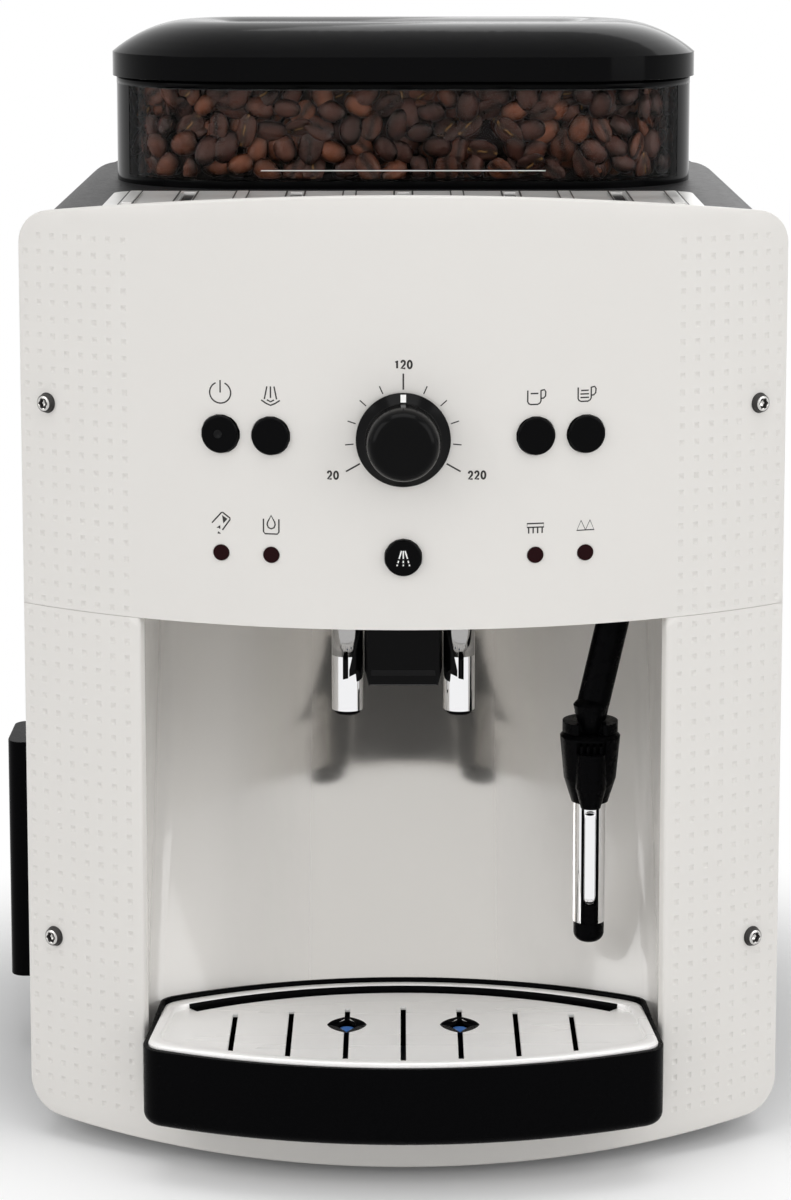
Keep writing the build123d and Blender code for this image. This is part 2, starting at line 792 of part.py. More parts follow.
# Upper front panel: bent sheet with holes for the controls and posts for their board
POST_SPOTS = [
    (x, z)
    for x in (-POST_X, POST_X)
    for z in (BOARD_LOW + POST_INSET, BOARD_HIGH - POST_INSET)
]
with BuildPart() as control_fascia:
    with BuildSketch(Plane.XY.offset(PANEL_SEAM_Z + SEAM)):
        add(panel_plan())
    extrude(amount=PANEL_TOP - PANEL_SEAM_Z - SEAM)
    with BuildSketch(Plane.XZ):
        add(panel_front())
    extrude(amount=PANEL_RADIUS, both=True, mode=Mode.INTERSECT)
    with BuildSketch(Plane.XZ.offset(-BOARD_FRONT)):
        with Locations(*POST_SPOTS):
            Circle(POST_RADIUS)
    extrude(amount=BOARD_FRONT - plan_y(POST_X, PANEL_RADIUS - PANEL_WALL / 2))
    for name, x, z, radius in BUTTONS:
        with BuildSketch(face_plane(x, z)):
            Circle(radius + BUTTON_GAP)
        extrude(amount=2 * PANEL_WALL, both=True, mode=Mode.SUBTRACT)
    for x in LENS_XS:
        with BuildSketch(face_plane(x, LENS_Z)):
            Circle(LENS_RADIUS + SEAT_GAP)
        extrude(amount=2 * PANEL_WALL, both=True, mode=Mode.SUBTRACT)
    with BuildSketch(face_plane(0, KNOB_Z)):
        Circle(KNOB_STEM + SLIDE_GAP)
    extrude(amount=2 * PANEL_WALL, both=True, mode=Mode.SUBTRACT)
    for x in (-SCREW_X, SCREW_X):
        with BuildSketch(face_plane(x, SCREW_ZS[1])):
            Circle(SCREW_HOLE)
        extrude(amount=2 * PANEL_WALL, both=True, mode=Mode.SUBTRACT)
write(control_fascia, "control_fascia")

# Lower front panel: two cheeks and the band below the drip tray
with BuildPart() as front_surround:
    with BuildSketch(Plane.XY.offset(PANEL_LOW)):
        add(panel_plan())
    extrude(amount=PANEL_SEAM_Z - PANEL_LOW)
    with BuildSketch(Plane.XZ):
        add(panel_front())
        span(-NICHE_WIDTH / 2, NICHE_WIDTH / 2, BASE_TOP, PANEL_TOP, mode=Mode.SUBTRACT)
    extrude(amount=PANEL_RADIUS, both=True, mode=Mode.INTERSECT)
    for x in (-SCREW_X, SCREW_X):
        with BuildSketch(face_plane(x, SCREW_ZS[0])):
            Circle(SCREW_HOLE)
        extrude(amount=2 * PANEL_WALL, both=True, mode=Mode.SUBTRACT)
write(front_surround, "front_surround")

# Four button-head screws that hold the panels to the side walls
with BuildPart() as fascia_screws:
    for x in (-SCREW_X, SCREW_X):
        for z in SCREW_ZS:
            with BuildSketch(face_plane(x, z).offset(SEAT_GAP)):
                Circle(SCREW_HEAD)
            extrude(amount=SCREW_HEAD_HEIGHT)
            with BuildSketch(face_plane(x, z).offset(SEAT_GAP)):
                Circle(SCREW_SHANK)
            extrude(amount=-SCREW_LENGTH)
            with BuildSketch(face_plane(x, z).offset(SEAT_GAP + SCREW_HEAD_HEIGHT)):
                RegularPolygon(SCREW_SOCKET, 6)
            extrude(amount=-SCREW_SOCKET, mode=Mode.SUBTRACT)
write(fascia_screws, "fascia_screws")

# Niche liner: one moulding with side walls, sloping back and ceiling
with BuildPart() as niche_liner:
    with BuildSketch(Plane.XY.offset(NICHE_KNEE_Z)):
        add(niche_outline(NICHE_LOW_BACK, NICHE_LOW_CORNER_Y, NICHE_WALL))
    with BuildSketch(Plane.XY.offset(PANEL_SEAM_Z)):
        add(niche_outline(NICHE_TOP_BACK, NICHE_TOP_CORNER_Y, NICHE_WALL))
    loft()
    with BuildSketch(Plane.XY.offset(PANEL_SEAM_Z)):
        add(niche_outline(NICHE_TOP_BACK, NICHE_TOP_CORNER_Y, NICHE_WALL))
    extrude(amount=NICHE_WALL)
    with BuildSketch(Plane.XY.offset(BASE_TOP)):
        add(niche_outline(NICHE_LOW_BACK, NICHE_LOW_CORNER_Y, NICHE_WALL))
    extrude(amount=NICHE_KNEE_Z - BASE_TOP)
    with BuildSketch(Plane.XY.offset(NICHE_KNEE_Z)):
        add(niche_outline(NICHE_LOW_BACK, NICHE_LOW_CORNER_Y, 0))
    with BuildSketch(Plane.XY.offset(PANEL_SEAM_Z)):
        add(niche_outline(NICHE_TOP_BACK, NICHE_TOP_CORNER_Y, 0))
    loft(mode=Mode.SUBTRACT)
    with BuildSketch(Plane.XY.offset(BASE_TOP)):
        add(niche_outline(NICHE_LOW_BACK, NICHE_LOW_CORNER_Y, 0))
    extrude(amount=NICHE_KNEE_Z - BASE_TOP, mode=Mode.SUBTRACT)
    with BuildSketch(Plane.XY.offset(BASE_TOP)):
        with Locations((0, ARC_Y)):
            Circle(BACK_RADIUS)
    extrude(amount=PANEL_SEAM_Z + NICHE_WALL - BASE_TOP, mode=Mode.INTERSECT)
    with BuildSketch(Plane.XY.offset(PANEL_SEAM_Z)):
        span(-SPOUT_HOLE_HALF, SPOUT_HOLE_HALF, SPOUT_HOLE_FRONT, SPOUT_HOLE_BACK)
        span(
            ARM_SLOT_X - ARM_SLOT_HALF, ARM_SLOT_X + ARM_SLOT_HALF, ARM_SLOT_FRONT, ARM_SLOT_BACK
        )
    extrude(amount=NICHE_WALL, both=True, mode=Mode.SUBTRACT)
write(niche_liner, "niche_liner")

# Side walls with the screw bosses. The left one has the mouth of the grounds drawer.
for side, name in ((-1, "side_panel_left"), (1, "side_panel_right")):
    with BuildPart() as side_panel:
        outer, inner = BODY_WIDTH / 2, BODY_WIDTH / 2 - SIDE_WALL
        with BuildSketch(Plane.XY.offset(BASE_TOP)):
            with BuildLine():
                Polyline(
                    (side * inner, plan_y(inner, BACK_RADIUS)),
                    (side * outer, plan_y(outer, BACK_RADIUS)),
                    (side * outer, SPLIT_Y - SEAM),
                    (side * inner, SPLIT_Y - SEAM),
                    close=True,
                )
            make_face()
        extrude(amount=COVER_LOW - BASE_TOP)
        for z in SCREW_ZS:
            with BuildSketch(Plane.XY.offset(z - BOSS_HEIGHT / 2)):
                with Locations(
                    (side * (outer - BOSS_WIDTH / 2), plan_y(SCREW_X, BACK_RADIUS) + SIDE_WALL)
                ):
                    Rectangle(BOSS_WIDTH, 2 * BOSS_DEPTH)
                with Locations((0, ARC_Y)):
                    Circle(BACK_RADIUS, mode=Mode.INTERSECT)
            extrude(amount=BOSS_HEIGHT)
            with BuildSketch(face_plane(side * SCREW_X, z)):
                Circle(SCREW_SHANK + RUN_FIT)
            extrude(amount=-(SCREW_LENGTH + SEAM), mode=Mode.SUBTRACT)
        if side < 0:
            with BuildSketch(Plane.YZ.offset(-outer)):
                span(-DRAWER_HALF, DRAWER_HALF, BASE_TOP, DRAWER_TOP)
            extrude(amount=SIDE_WALL, both=True, mode=Mode.SUBTRACT)
    write(side_panel, name)

# Bulkhead between the works and the tank, with a shelf for grinder and heater
with BuildPart() as bulkhead:
    half = BODY_WIDTH / 2 - SIDE_WALL - SEAM
    with BuildSketch(Plane.XZ.offset(-BULKHEAD_REAR)):
        span(-half, half, BASE_TOP, COVER_LOW)
    extrude(amount=BULKHEAD_WALL)
    with BuildSketch(Plane.XY.offset(SHELF_Z)):
        span(PINION_X - CUP_RADIUS, CUP_RADIUS + MOTOR_RADIUS, -MOTOR_RADIUS * 2, BULKHEAD_REAR)
    extrude(amount=SHELF_WALL)
    with BuildSketch(Plane.XY.offset(HEATER_LOW - SHELF_WALL)):
        span(HEATER_X - SHELF_WALL, half, HEATER_FRONT - SHELF_WALL, BULKHEAD_REAR)
    extrude(amount=SHELF_WALL)
    with BuildSketch(Plane.XZ.offset(-BULKHEAD_FRONT)):
        for x in (MAIN_BOARD_LEFT + STANDOFF_INSET, MAIN_BOARD_RIGHT - STANDOFF_INSET):
            for z in (MAIN_BOARD_LOW + STANDOFF_INSET, MAIN_BOARD_HIGH - STANDOFF_INSET):
                with Locations((x, z)):
                    Rectangle(2 * STANDOFF_RADIUS, 2 * STANDOFF_RADIUS)
    extrude(amount=BULKHEAD_FRONT - MAIN_BOARD_FRONT - BOARD_WALL)
write(bulkhead, "bulkhead")

# Rear housing: shell with the tank well, vents and the mains opening
with BuildPart() as rear_housing:
    with BuildSketch(Plane.XY.offset(BASE_TOP)):
        add(body_outline(0, BACK_RADIUS, BODY_REAR, REAR_CORNER))
        span(-BODY_WIDTH, BODY_WIDTH, -BODY_WIDTH, SPLIT_Y, mode=Mode.SUBTRACT)
    extrude(amount=REAR_TOP - BASE_TOP)
    top_edges = rear_housing.faces().sort_by(Axis.Z)[-1].edges()
    fillet(top_edges.filter_by(lambda edge: edge.center().Y > SPLIT_Y + OVERRUN), COVER_EDGE)
    with BuildSketch(Plane.XY.offset(BASE_TOP)):
        add(
            body_outline(
                SIDE_WALL, BACK_RADIUS, BODY_REAR - SIDE_WALL, REAR_CORNER - SIDE_WALL
            )
        )
        span(-BODY_WIDTH, BODY_WIDTH, -BODY_WIDTH, SPLIT_Y, mode=Mode.SUBTRACT)
    extrude(amount=REAR_TOP - COVER_EDGE - BASE_TOP, mode=Mode.SUBTRACT)
    with BuildSketch(Plane.XY.offset(BASE_TOP)):
        add(
            body_outline(
                COVER_EDGE, BACK_RADIUS, BODY_REAR - COVER_EDGE, REAR_CORNER - COVER_EDGE
            )
        )
        span(-BODY_WIDTH, BODY_WIDTH, -BODY_WIDTH, SPLIT_Y, mode=Mode.SUBTRACT)
    extrude(amount=REAR_TOP - COVER_WALL - BASE_TOP, mode=Mode.SUBTRACT)
    with BuildSketch(Plane.XY.offset(WELL_FLOOR - SIDE_WALL)):
        span(
            -WELL_HALF - SIDE_WALL,
            WELL_HALF + SIDE_WALL,
            WELL_FRONT - SIDE_WALL,
            WELL_BACK + SIDE_WALL,
        )
    extrude(amount=REAR_TOP - COVER_WALL - WELL_FLOOR + SIDE_WALL)
    with BuildSketch(Plane.XY.offset(WELL_FLOOR)):
        with Locations((0, (WELL_FRONT + WELL_BACK) / 2)):
            RectangleRounded(2 * WELL_HALF, WELL_BACK - WELL_FRONT, WELL_CORNER)
    extrude(amount=REAR_TOP - WELL_FLOOR, mode=Mode.SUBTRACT)
    with BuildSketch(Plane.XY.offset(WELL_FLOOR)):
        with Locations((VALVE_X, VALVE_Y)):
            Circle(VALVE_RADIUS + PORT_GAP)
    extrude(amount=-SIDE_WALL, mode=Mode.SUBTRACT)
    with BuildSketch(Plane.XZ.offset(-BODY_REAR)):
        with Locations((VENT_X, VENT_Z)):
            with GridLocations(VENT_PITCH, VENT_PITCH, VENT_COUNT, 1):
                Rectangle(VENT_WIDTH, VENT_HEIGHT)
        with Locations((INLET_X, INLET_Z)):
            Rectangle(INLET_WIDTH + 2 * SEAT_GAP, INLET_HEIGHT + 2 * SEAT_GAP)
    extrude(amount=SIDE_WALL + OVERRUN, both=True, mode=Mode.SUBTRACT)
write(rear_housing, "rear_housing")

# Mains inlet: socket with three blades, clipped in the rear wall
with BuildPart() as power_inlet:
    with BuildSketch(Plane.XZ.offset(-BODY_REAR)):
        with Locations((INLET_X, INLET_Z)):
            Rectangle(INLET_WIDTH, INLET_HEIGHT)
    extrude(amount=INLET_DEPTH)
    with BuildSketch(Plane.XZ.offset(-BODY_REAR)):
        with Locations((INLET_X, INLET_Z)):
            RectangleRounded(
                INLET_WIDTH + 2 * INLET_FLANGE, INLET_HEIGHT + 2 * INLET_FLANGE, INLET_FLANGE
            )
    extrude(amount=-INLET_FLANGE_WALL)
    with BuildSketch(Plane.XZ.offset(-BODY_REAR - INLET_FLANGE_WALL)):
        with Locations((INLET_X, INLET_Z)):
            Rectangle(INLET_WIDTH - 2 * INLET_WALL, INLET_HEIGHT - 2 * INLET_WALL)
    extrude(amount=INLET_RECESS, mode=Mode.SUBTRACT)
    with BuildSketch(Plane.XZ.offset(-BODY_REAR - INLET_FLANGE_WALL + INLET_RECESS)):
        for x, z in ((-1, -1), (0, 1), (1, -1)):
            with Locations((INLET_X + x * INLET_PIN_PITCH, INLET_Z + z * INLET_PIN_WIDTH)):
                Rectangle(INLET_PIN_WIDTH, INLET_PIN_HEIGHT)
    extrude(amount=-INLET_PIN_LENGTH)
write(power_inlet, "power_inlet")

# Top cover: deck with rounded sides, the seat of the cup plate and the hopper's mouth
with BuildPart() as top_cover:
    with BuildSketch(Plane.XY.offset(COVER_LOW)):
        add(body_outline(0, BACK_RADIUS, SPLIT_Y - SEAM, 0))
    extrude(amount=DECK_Z - COVER_LOW)
    fillet(top_cover.faces().sort_by(Axis.Z)[-1].edges().filter_by(Axis.Y), COVER_EDGE)
    with BuildSketch(Plane.XY.offset(COVER_LOW)):
        add(body_outline(SIDE_WALL, BACK_RADIUS - SIDE_WALL, SPLIT_Y - SEAM - SIDE_WALL, 0))
    extrude(amount=DECK_Z - COVER_EDGE - COVER_LOW, mode=Mode.SUBTRACT)
    with BuildSketch(Plane.XY.offset(COVER_LOW)):
        add(body_outline(COVER_EDGE, BACK_RADIUS - SIDE_WALL, SPLIT_Y - SEAM - SIDE_WALL, 0))
    extrude(amount=DECK_Z - COVER_WALL - COVER_LOW, mode=Mode.SUBTRACT)
    with BuildSketch(Plane.XY.offset(DECK_Z)):
        add(plate_outline(-SEAM))
    extrude(amount=PLATE_SINK - PLATE_WALL, mode=Mode.SUBTRACT)
    with BuildSketch(Plane.XY.offset(DECK_Z)):
        add(hopper_ring(HOPPER_NECK_INSET - SEAM))
    extrude(amount=-2 * COVER_WALL, mode=Mode.SUBTRACT)
write(top_cover, "top_cover")

# Steel cup plate: pressed sheet with slots and ribs between them
with BuildPart() as cup_plate:
    with BuildSketch(Plane.XY.offset(DECK_Z + PLATE_SINK)):
        add(plate_outline(0))
    extrude(amount=-PLATE_WALL)
    plate_slot_y = PLATE_SLOT_BACK - PLATE_SLOT_LENGTH / 2
    with BuildSketch(Plane.XY.offset(DECK_Z + PLATE_SINK)):
        with Locations((0, plate_slot_y)):
            with GridLocations(PLATE_SLOT_PITCH, PLATE_SLOT_PITCH, PLATE_SLOT_COUNT, 1):
                Rectangle(PLATE_SLOT_WIDTH, PLATE_SLOT_LENGTH)
    extrude(amount=-PLATE_WALL, mode=Mode.SUBTRACT)
    with BuildSketch(Plane.XY.offset(DECK_Z + PLATE_SINK)):
        with Locations((0, plate_slot_y)):
            with GridLocations(PLATE_SLOT_PITCH, PLATE_SLOT_PITCH, PLATE_SLOT_COUNT + 1, 1):
                Rectangle(PLATE_RIB_WIDTH, PLATE_SLOT_LENGTH - PLATE_RIB_WIDTH)
    extrude(amount=PLATE_RIB_HEIGHT)
write(cup_plate, "cup_plate")

# Hopper: rear wall, flange on the deck, funnel and the seat of the grind knob
with BuildPart() as hopper_shell:
    with BuildSketch(Plane.XY.offset(DECK_Z)):
        add(hopper_ring(0))
    extrude(amount=HOPPER_TOP - DECK_Z)
    with BuildSketch(Plane.XY.offset(DECK_Z)):
        add(hopper_ring(HOPPER_NECK_INSET))
    with BuildSketch(Plane.XY.offset(THROAT_Z)):
        add(throat_ring(0))
    loft()
    with BuildSketch(Plane.XY.offset(DECK_Z + HOPPER_FLANGE)):
        add(hopper_ring(HOPPER_WALL))
    extrude(amount=HOPPER_TOP - DECK_Z, mode=Mode.SUBTRACT)
    with BuildSketch(Plane.XY.offset(DECK_Z)):
        add(hopper_ring(HOPPER_NECK_INSET + HOPPER_WALL))
    extrude(amount=HOPPER_FLANGE, mode=Mode.SUBTRACT)
    with BuildSketch(Plane.XY.offset(DECK_Z + HOPPER_FLANGE)):
        span(-WINDOW_HALF, WINDOW_HALF, -HOPPER_WIDTH, HOPPER_Y)
    extrude(amount=HOPPER_TOP - DECK_Z, mode=Mode.SUBTRACT)
    with BuildSketch(Plane.XY.offset(DECK_Z)):
        add(hopper_ring(HOPPER_NECK_INSET + HOPPER_WALL))
    with BuildSketch(Plane.XY.offset(THROAT_Z)):
        add(throat_ring(HOPPER_WALL))
    loft(mode=Mode.SUBTRACT)
    with BuildSketch(Plane.XY.offset(ADJUST_BOSS_LOW)):
        with Locations((ADJUST_X, HOPPER_Y)):
            Circle(ADJUST_BOSS)
    extrude(amount=ADJUST_BOSS_TOP - ADJUST_BOSS_LOW)
    with BuildSketch(Plane.XY.offset(ADJUST_BOSS_LOW)):
        with Locations((ADJUST_X, HOPPER_Y)):
            Circle(ADJUST_STEM + RUN_FIT)
    extrude(amount=ADJUST_BOSS_TOP - ADJUST_BOSS_LOW, mode=Mode.SUBTRACT)
write(hopper_shell, "hopper_shell")

# Clear front wall of the hopper
with BuildPart() as hopper_window:
    with BuildSketch(Plane.XY.offset(DECK_Z + HOPPER_FLANGE)):
        add(hopper_ring(0))
        add(hopper_ring(HOPPER_WALL), mode=Mode.SUBTRACT)
        span(
            -WINDOW_HALF + SEAT_GAP,
            WINDOW_HALF - SEAT_GAP,
            -HOPPER_WIDTH,
            HOPPER_Y,
            mode=Mode.INTERSECT,
        )
    extrude(amount=HOPPER_TOP - DECK_Z - HOPPER_FLANGE)
write(hopper_window, "hopper_window")

# Coffee beans: the space that they fill
with BuildPart() as coffee_beans:
    fill_wall = HOPPER_WALL + FILL_GAP
    with BuildSketch(Plane.XY.offset(DECK_Z)):
        add(hopper_ring(HOPPER_NECK_INSET + fill_wall))
    with BuildSketch(Plane.XY.offset(THROAT_Z)):
        add(throat_ring(fill_wall))
    loft()
    with BuildSketch(Plane.XY.offset(DECK_Z)):
        add(hopper_ring(HOPPER_NECK_INSET + fill_wall))
    extrude(amount=HOPPER_FLANGE + FILL_GAP)
    with BuildSketch(Plane.XY.offset(DECK_Z + HOPPER_FLANGE + FILL_GAP)):
        add(hopper_ring(fill_wall))
    extrude(amount=FILL_TOP - DECK_Z - HOPPER_FLANGE - FILL_GAP)
    with BuildSketch(Plane.XY.offset(THROAT_Z)):
        with Locations((ADJUST_X, HOPPER_Y)):
            Circle(ADJUST_RADIUS + FILL_GAP)
    extrude(amount=ADJUST_BOSS_TOP + ADJUST_HEIGHT + 2 * FILL_GAP - THROAT_Z, mode=Mode.SUBTRACT)
write(coffee_beans, "coffee_beans")

# Domed hopper lid with a pocket below
lid_low = HOPPER_TOP + LID_GAP
lid_rim_top = lid_low + LID_RIM
with BuildPart() as hopper_lid:
    with BuildSketch(Plane.XY.offset(lid_low)):
        add(lid_ring(0))
    extrude(amount=LID_RIM)
    with BuildSketch(Plane.XY.offset(lid_rim_top)):
        add(lid_ring(0))
    with BuildSketch(Plane.XY.offset(lid_rim_top + LID_SHOULDER)):
        add(lid_ring(LID_SHOULDER_INSET))
    with BuildSketch(Plane.XY.offset(lid_rim_top + LID_SHOULDER + LID_CROWN)):
        add(lid_ring(LID_CROWN_INSET))
    loft()
    with BuildSketch(Plane.XY.offset(lid_low)):
        add(lid_ring(LID_WALL))
    extrude(amount=LID_POCKET, mode=Mode.SUBTRACT)
write(hopper_lid, "hopper_lid")

# Soft seal that hangs in the lid's pocket and closes the hopper's mouth
with BuildPart() as hopper_lid_seal:
    with BuildSketch(Plane.XY.offset(HOPPER_TOP - SEAL_DROP)):
        add(hopper_ring(SEAL_INSET))
        add(hopper_ring(SEAL_INSET + SEAL_WIDTH), mode=Mode.SUBTRACT)
    extrude(amount=SEAL_DROP + LID_GAP + LID_POCKET)
write(hopper_lid_seal, "hopper_lid_seal")

# Grind knob in the hopper: round foot with a grip bar
with BuildPart() as grind_adjust_knob:
    with BuildSketch(Plane.XY.offset(ADJUST_BOSS_LOW)):
        with Locations((ADJUST_X, HOPPER_Y)):
            Circle(ADJUST_STEM)
    extrude(amount=ADJUST_BOSS_TOP + SEAM - ADJUST_BOSS_LOW)
    with BuildSketch(Plane.XY.offset(ADJUST_BOSS_TOP + SEAM)):
        with Locations((ADJUST_X, HOPPER_Y)):
            Circle(ADJUST_RADIUS)
    extrude(amount=ADJUST_HEIGHT - ADJUST_GRIP_HEIGHT)
    with BuildSketch(Plane.XY.offset(ADJUST_BOSS_TOP + SEAM + ADJUST_HEIGHT)):
        with Locations((ADJUST_X, HOPPER_Y)):
            Rectangle(ADJUST_GRIP_WIDTH, 2 * (ADJUST_RADIUS - ADJUST_GRIP_WIDTH))
    extrude(amount=-ADJUST_GRIP_HEIGHT)
write(grind_adjust_knob, "grind_adjust_knob")

# Grinder housing: gearbox below, burr cup above, chute at the front
with BuildPart() as grinder_housing:
    with BuildSketch(Plane.XY.offset(GRINDER_Z)):
        add(gearbox_outline(GEARBOX_WALL))
    extrude(amount=GEARBOX_HEIGHT)
    with BuildSketch(Plane.XY.offset(GRINDER_Z + GEARBOX_WALL)):
        add(gearbox_outline(0))
    extrude(amount=GEARBOX_HEIGHT - 2 * GEARBOX_WALL, mode=Mode.SUBTRACT)
    with BuildSketch(Plane.XY.offset(GRINDER_Z + GEARBOX_HEIGHT)):
        with Locations((0, HOPPER_Y)):
            Circle(CUP_RADIUS)
    extrude(amount=CUP_TOP - GRINDER_Z - GEARBOX_HEIGHT)
    with BuildSketch(Plane.XY.offset(GRINDER_Z + GEARBOX_HEIGHT)):
        with Locations((0, HOPPER_Y)):
            Circle(CUP_RADIUS - CUP_WALL)
    extrude(amount=CUP_TOP - GRINDER_Z - GEARBOX_HEIGHT, mode=Mode.SUBTRACT)
    with BuildSketch(Plane.XY.offset(GRINDER_Z + GEARBOX_HEIGHT)):
        with Locations((0, HOPPER_Y)):
            Circle(BURR_SHAFT + RUN_FIT)
    extrude(amount=-GEARBOX_WALL, mode=Mode.SUBTRACT)
    with BuildSketch(Plane.XY.offset(GRINDER_Z + GEARBOX_HEIGHT)):
        span(-CHUTE_WIDTH / 2, CHUTE_WIDTH / 2, HOPPER_Y - CUP_RADIUS - CUP_WALL, HOPPER_Y)
    extrude(amount=CHUTE_HEIGHT, mode=Mode.SUBTRACT)
    with BuildSketch(Plane.XY.offset(GRINDER_Z + GEARBOX_HEIGHT)):
        with Locations((PINION_X, HOPPER_Y)):
            Circle(MOTOR_SHAFT + RUN_FIT)
    extrude(amount=-GEARBOX_WALL, mode=Mode.SUBTRACT)
write(grinder_housing, "grinder_housing")

# Grinder motor: can with end cap, upside down on the gearbox
with BuildPart() as grinder_motor:
    motor_low = GRINDER_Z + GEARBOX_HEIGHT
    with BuildSketch(Plane.XY.offset(motor_low)):
        with Locations((PINION_X, HOPPER_Y)):
            Circle(MOTOR_RADIUS)
    extrude(amount=MOTOR_HEIGHT)
    with BuildSketch(Plane.XY.offset(motor_low + MOTOR_HEIGHT)):
        with Locations((PINION_X, HOPPER_Y)):
            Circle(MOTOR_RADIUS - MOTOR_CAP)
    extrude(amount=MOTOR_CAP)
    with BuildSketch(Plane.XY.offset(motor_low)):
        with Locations((PINION_X, HOPPER_Y)):
            Circle(MOTOR_SHAFT + RUN_FIT)
    extrude(amount=MOTOR_CAP, mode=Mode.SUBTRACT)
write(grinder_motor, "grinder_motor")

# Motor pinion with its shaft
with BuildPart() as motor_pinion:
    gear_low = GRINDER_Z + GEARBOX_WALL + SEAM
    with BuildSketch(Plane.XY.offset(gear_low)):
        with Locations((PINION_X, HOPPER_Y)):
            add(gear_outline(PINION_TEETH, 180 / PINION_TEETH))
    extrude(amount=GEAR_WIDTH)
    with BuildSketch(Plane.XY.offset(gear_low + GEAR_WIDTH)):
        with Locations((PINION_X, HOPPER_Y)):
            Circle(MOTOR_SHAFT)
    extrude(amount=GEARBOX_HEIGHT - GEARBOX_WALL - GEAR_WIDTH - SEAM + MOTOR_CAP - SEAM)
write(motor_pinion, "motor_pinion")

# Burr gear with the shaft that turns the cone burr
with BuildPart() as burr_gear:
    with BuildSketch(Plane.XY.offset(gear_low)):
        with Locations((0, HOPPER_Y)):
            add(gear_outline(GEAR_TEETH, 0))
    extrude(amount=GEAR_WIDTH)
    with BuildSketch(Plane.XY.offset(gear_low + GEAR_WIDTH)):
        with Locations((0, HOPPER_Y)):
            Circle(BURR_SHAFT)
    extrude(amount=BURR_LOW - gear_low - GEAR_WIDTH)
write(burr_gear, "burr_gear")

# Cone burr with slanting flutes
burr_axis = Axis((0, HOPPER_Y, 0), (0, 0, 1))
with BuildPart() as lower_burr:
    with BuildSketch(Plane.XZ.offset(-HOPPER_Y)):
        with BuildLine():
            Polyline(
                (0, BURR_LOW),
                (BURR_LOW_RADIUS, BURR_LOW),
                (BURR_TOP_RADIUS, BURR_LOW + BURR_HEIGHT),
                (0, BURR_LOW + BURR_HEIGHT),
                close=True,
            )
        make_face()
    revolve(axis=burr_axis)
    slope = degrees(atan2(BURR_LOW_RADIUS - BURR_TOP_RADIUS, BURR_HEIGHT))
    middle = (BURR_LOW_RADIUS + BURR_TOP_RADIUS) / 2
    for flute in range(BURR_FLUTES):
        turned = Location(
            (0, HOPPER_Y, BURR_LOW + BURR_HEIGHT / 2), (0, 0, flute * 360 / BURR_FLUTES)
        )
        leaning = turned * Pos(middle, 0, 0) * Rot(0, -slope, 0) * Rot(BURR_FLUTE_LEAN, 0, 0)
        with BuildSketch(Plane(leaning)):
            Rectangle(BURR_FLUTE_DEPTH, BURR_FLUTE_WIDTH)
        extrude(amount=BURR_HEIGHT, both=True, mode=Mode.SUBTRACT)
write(lower_burr, "lower_burr")

# Ring burr in the cup
with BuildPart() as upper_burr:
    rise = (BURR_LOW_RADIUS - BURR_TOP_RADIUS) / BURR_HEIGHT
    ring_low = BURR_LOW + BURR_HEIGHT / 4
    ring_high = BURR_LOW + BURR_HEIGHT
    with BuildSketch(Plane.XZ.offset(-HOPPER_Y)):
        with BuildLine():
            Polyline(
                (BURR_LOW_RADIUS - rise * (ring_low - BURR_LOW) + BURR_GAP, ring_low),
                (RING_RADIUS, ring_low),
                (RING_RADIUS, ring_high),
                (BURR_TOP_RADIUS + BURR_GAP, ring_high),
                close=True,
            )
        make_face()
    revolve(axis=burr_axis)
write(upper_burr, "upper_burr")

# Brew group: frame with the brewing chamber and the bearings of the spindle
brew_top = BREW_LOW + BREW_HEIGHT
chamber_top = BREW_LOW + BREW_PLATE + CHAMBER_HEIGHT
with BuildPart() as brew_group:
    for low in (BREW_LOW, brew_top - BREW_PLATE):
        with BuildSketch(Plane.XY.offset(low)):
            span(BREW_LEFT, BREW_RIGHT, BREW_FRONT, BULKHEAD_FRONT)
        extrude(amount=BREW_PLATE)
    with BuildSketch(Plane.XY.offset(BREW_LOW)):
        span(BREW_LEFT, BREW_RIGHT, BULKHEAD_FRONT - BREW_PLATE, BULKHEAD_FRONT)
    extrude(amount=BREW_HEIGHT)
    with BuildSketch(Plane.XY.offset(BREW_LOW + BREW_PLATE)):
        with Locations((0, BREW_Y)):
            Circle(CHAMBER_RADIUS)
    extrude(amount=CHAMBER_HEIGHT)
    with BuildSketch(Plane.XY.offset(BREW_LOW)):
        with Locations((0, BREW_Y)):
            Circle(CHAMBER_BORE)
    extrude(amount=BREW_PLATE + CHAMBER_HEIGHT, mode=Mode.SUBTRACT)
    with BuildSketch(Plane.XY.offset(BREW_LOW)):
        with Locations((SPINDLE_X, BREW_Y)):
            Circle(SPINDLE_RADIUS + RUN_FIT)
    extrude(amount=BREW_HEIGHT, mode=Mode.SUBTRACT)
write(brew_group, "brew_group")

# Brew piston with its rod and the arm that the spindle's nut drives
nut_low = brew_top - BREW_PLATE - SEAM - NUT_HEIGHT
with BuildPart() as brew_piston:
    with BuildSketch(Plane.XY.offset(chamber_top - PISTON_HEIGHT)):
        with Locations((0, BREW_Y)):
            Circle(CHAMBER_BORE - PISTON_GAP)
    extrude(amount=PISTON_HEIGHT)
    with BuildSketch(Plane.XY.offset(chamber_top)):
        with Locations((0, BREW_Y)):
            Circle(PISTON_ROD)
    extrude(amount=nut_low - chamber_top)
    with BuildSketch(Plane.XY.offset(nut_low)):
        span(-PISTON_ROD, SPINDLE_X, BREW_Y - ARM_WIDTH / 2, BREW_Y + ARM_WIDTH / 2)
        with Locations((SPINDLE_X, BREW_Y)):
            Circle(NUT_RADIUS)
            Circle(SPINDLE_RADIUS + RUN_FIT, mode=Mode.SUBTRACT)
    extrude(amount=NUT_HEIGHT)
write(brew_piston, "brew_piston")

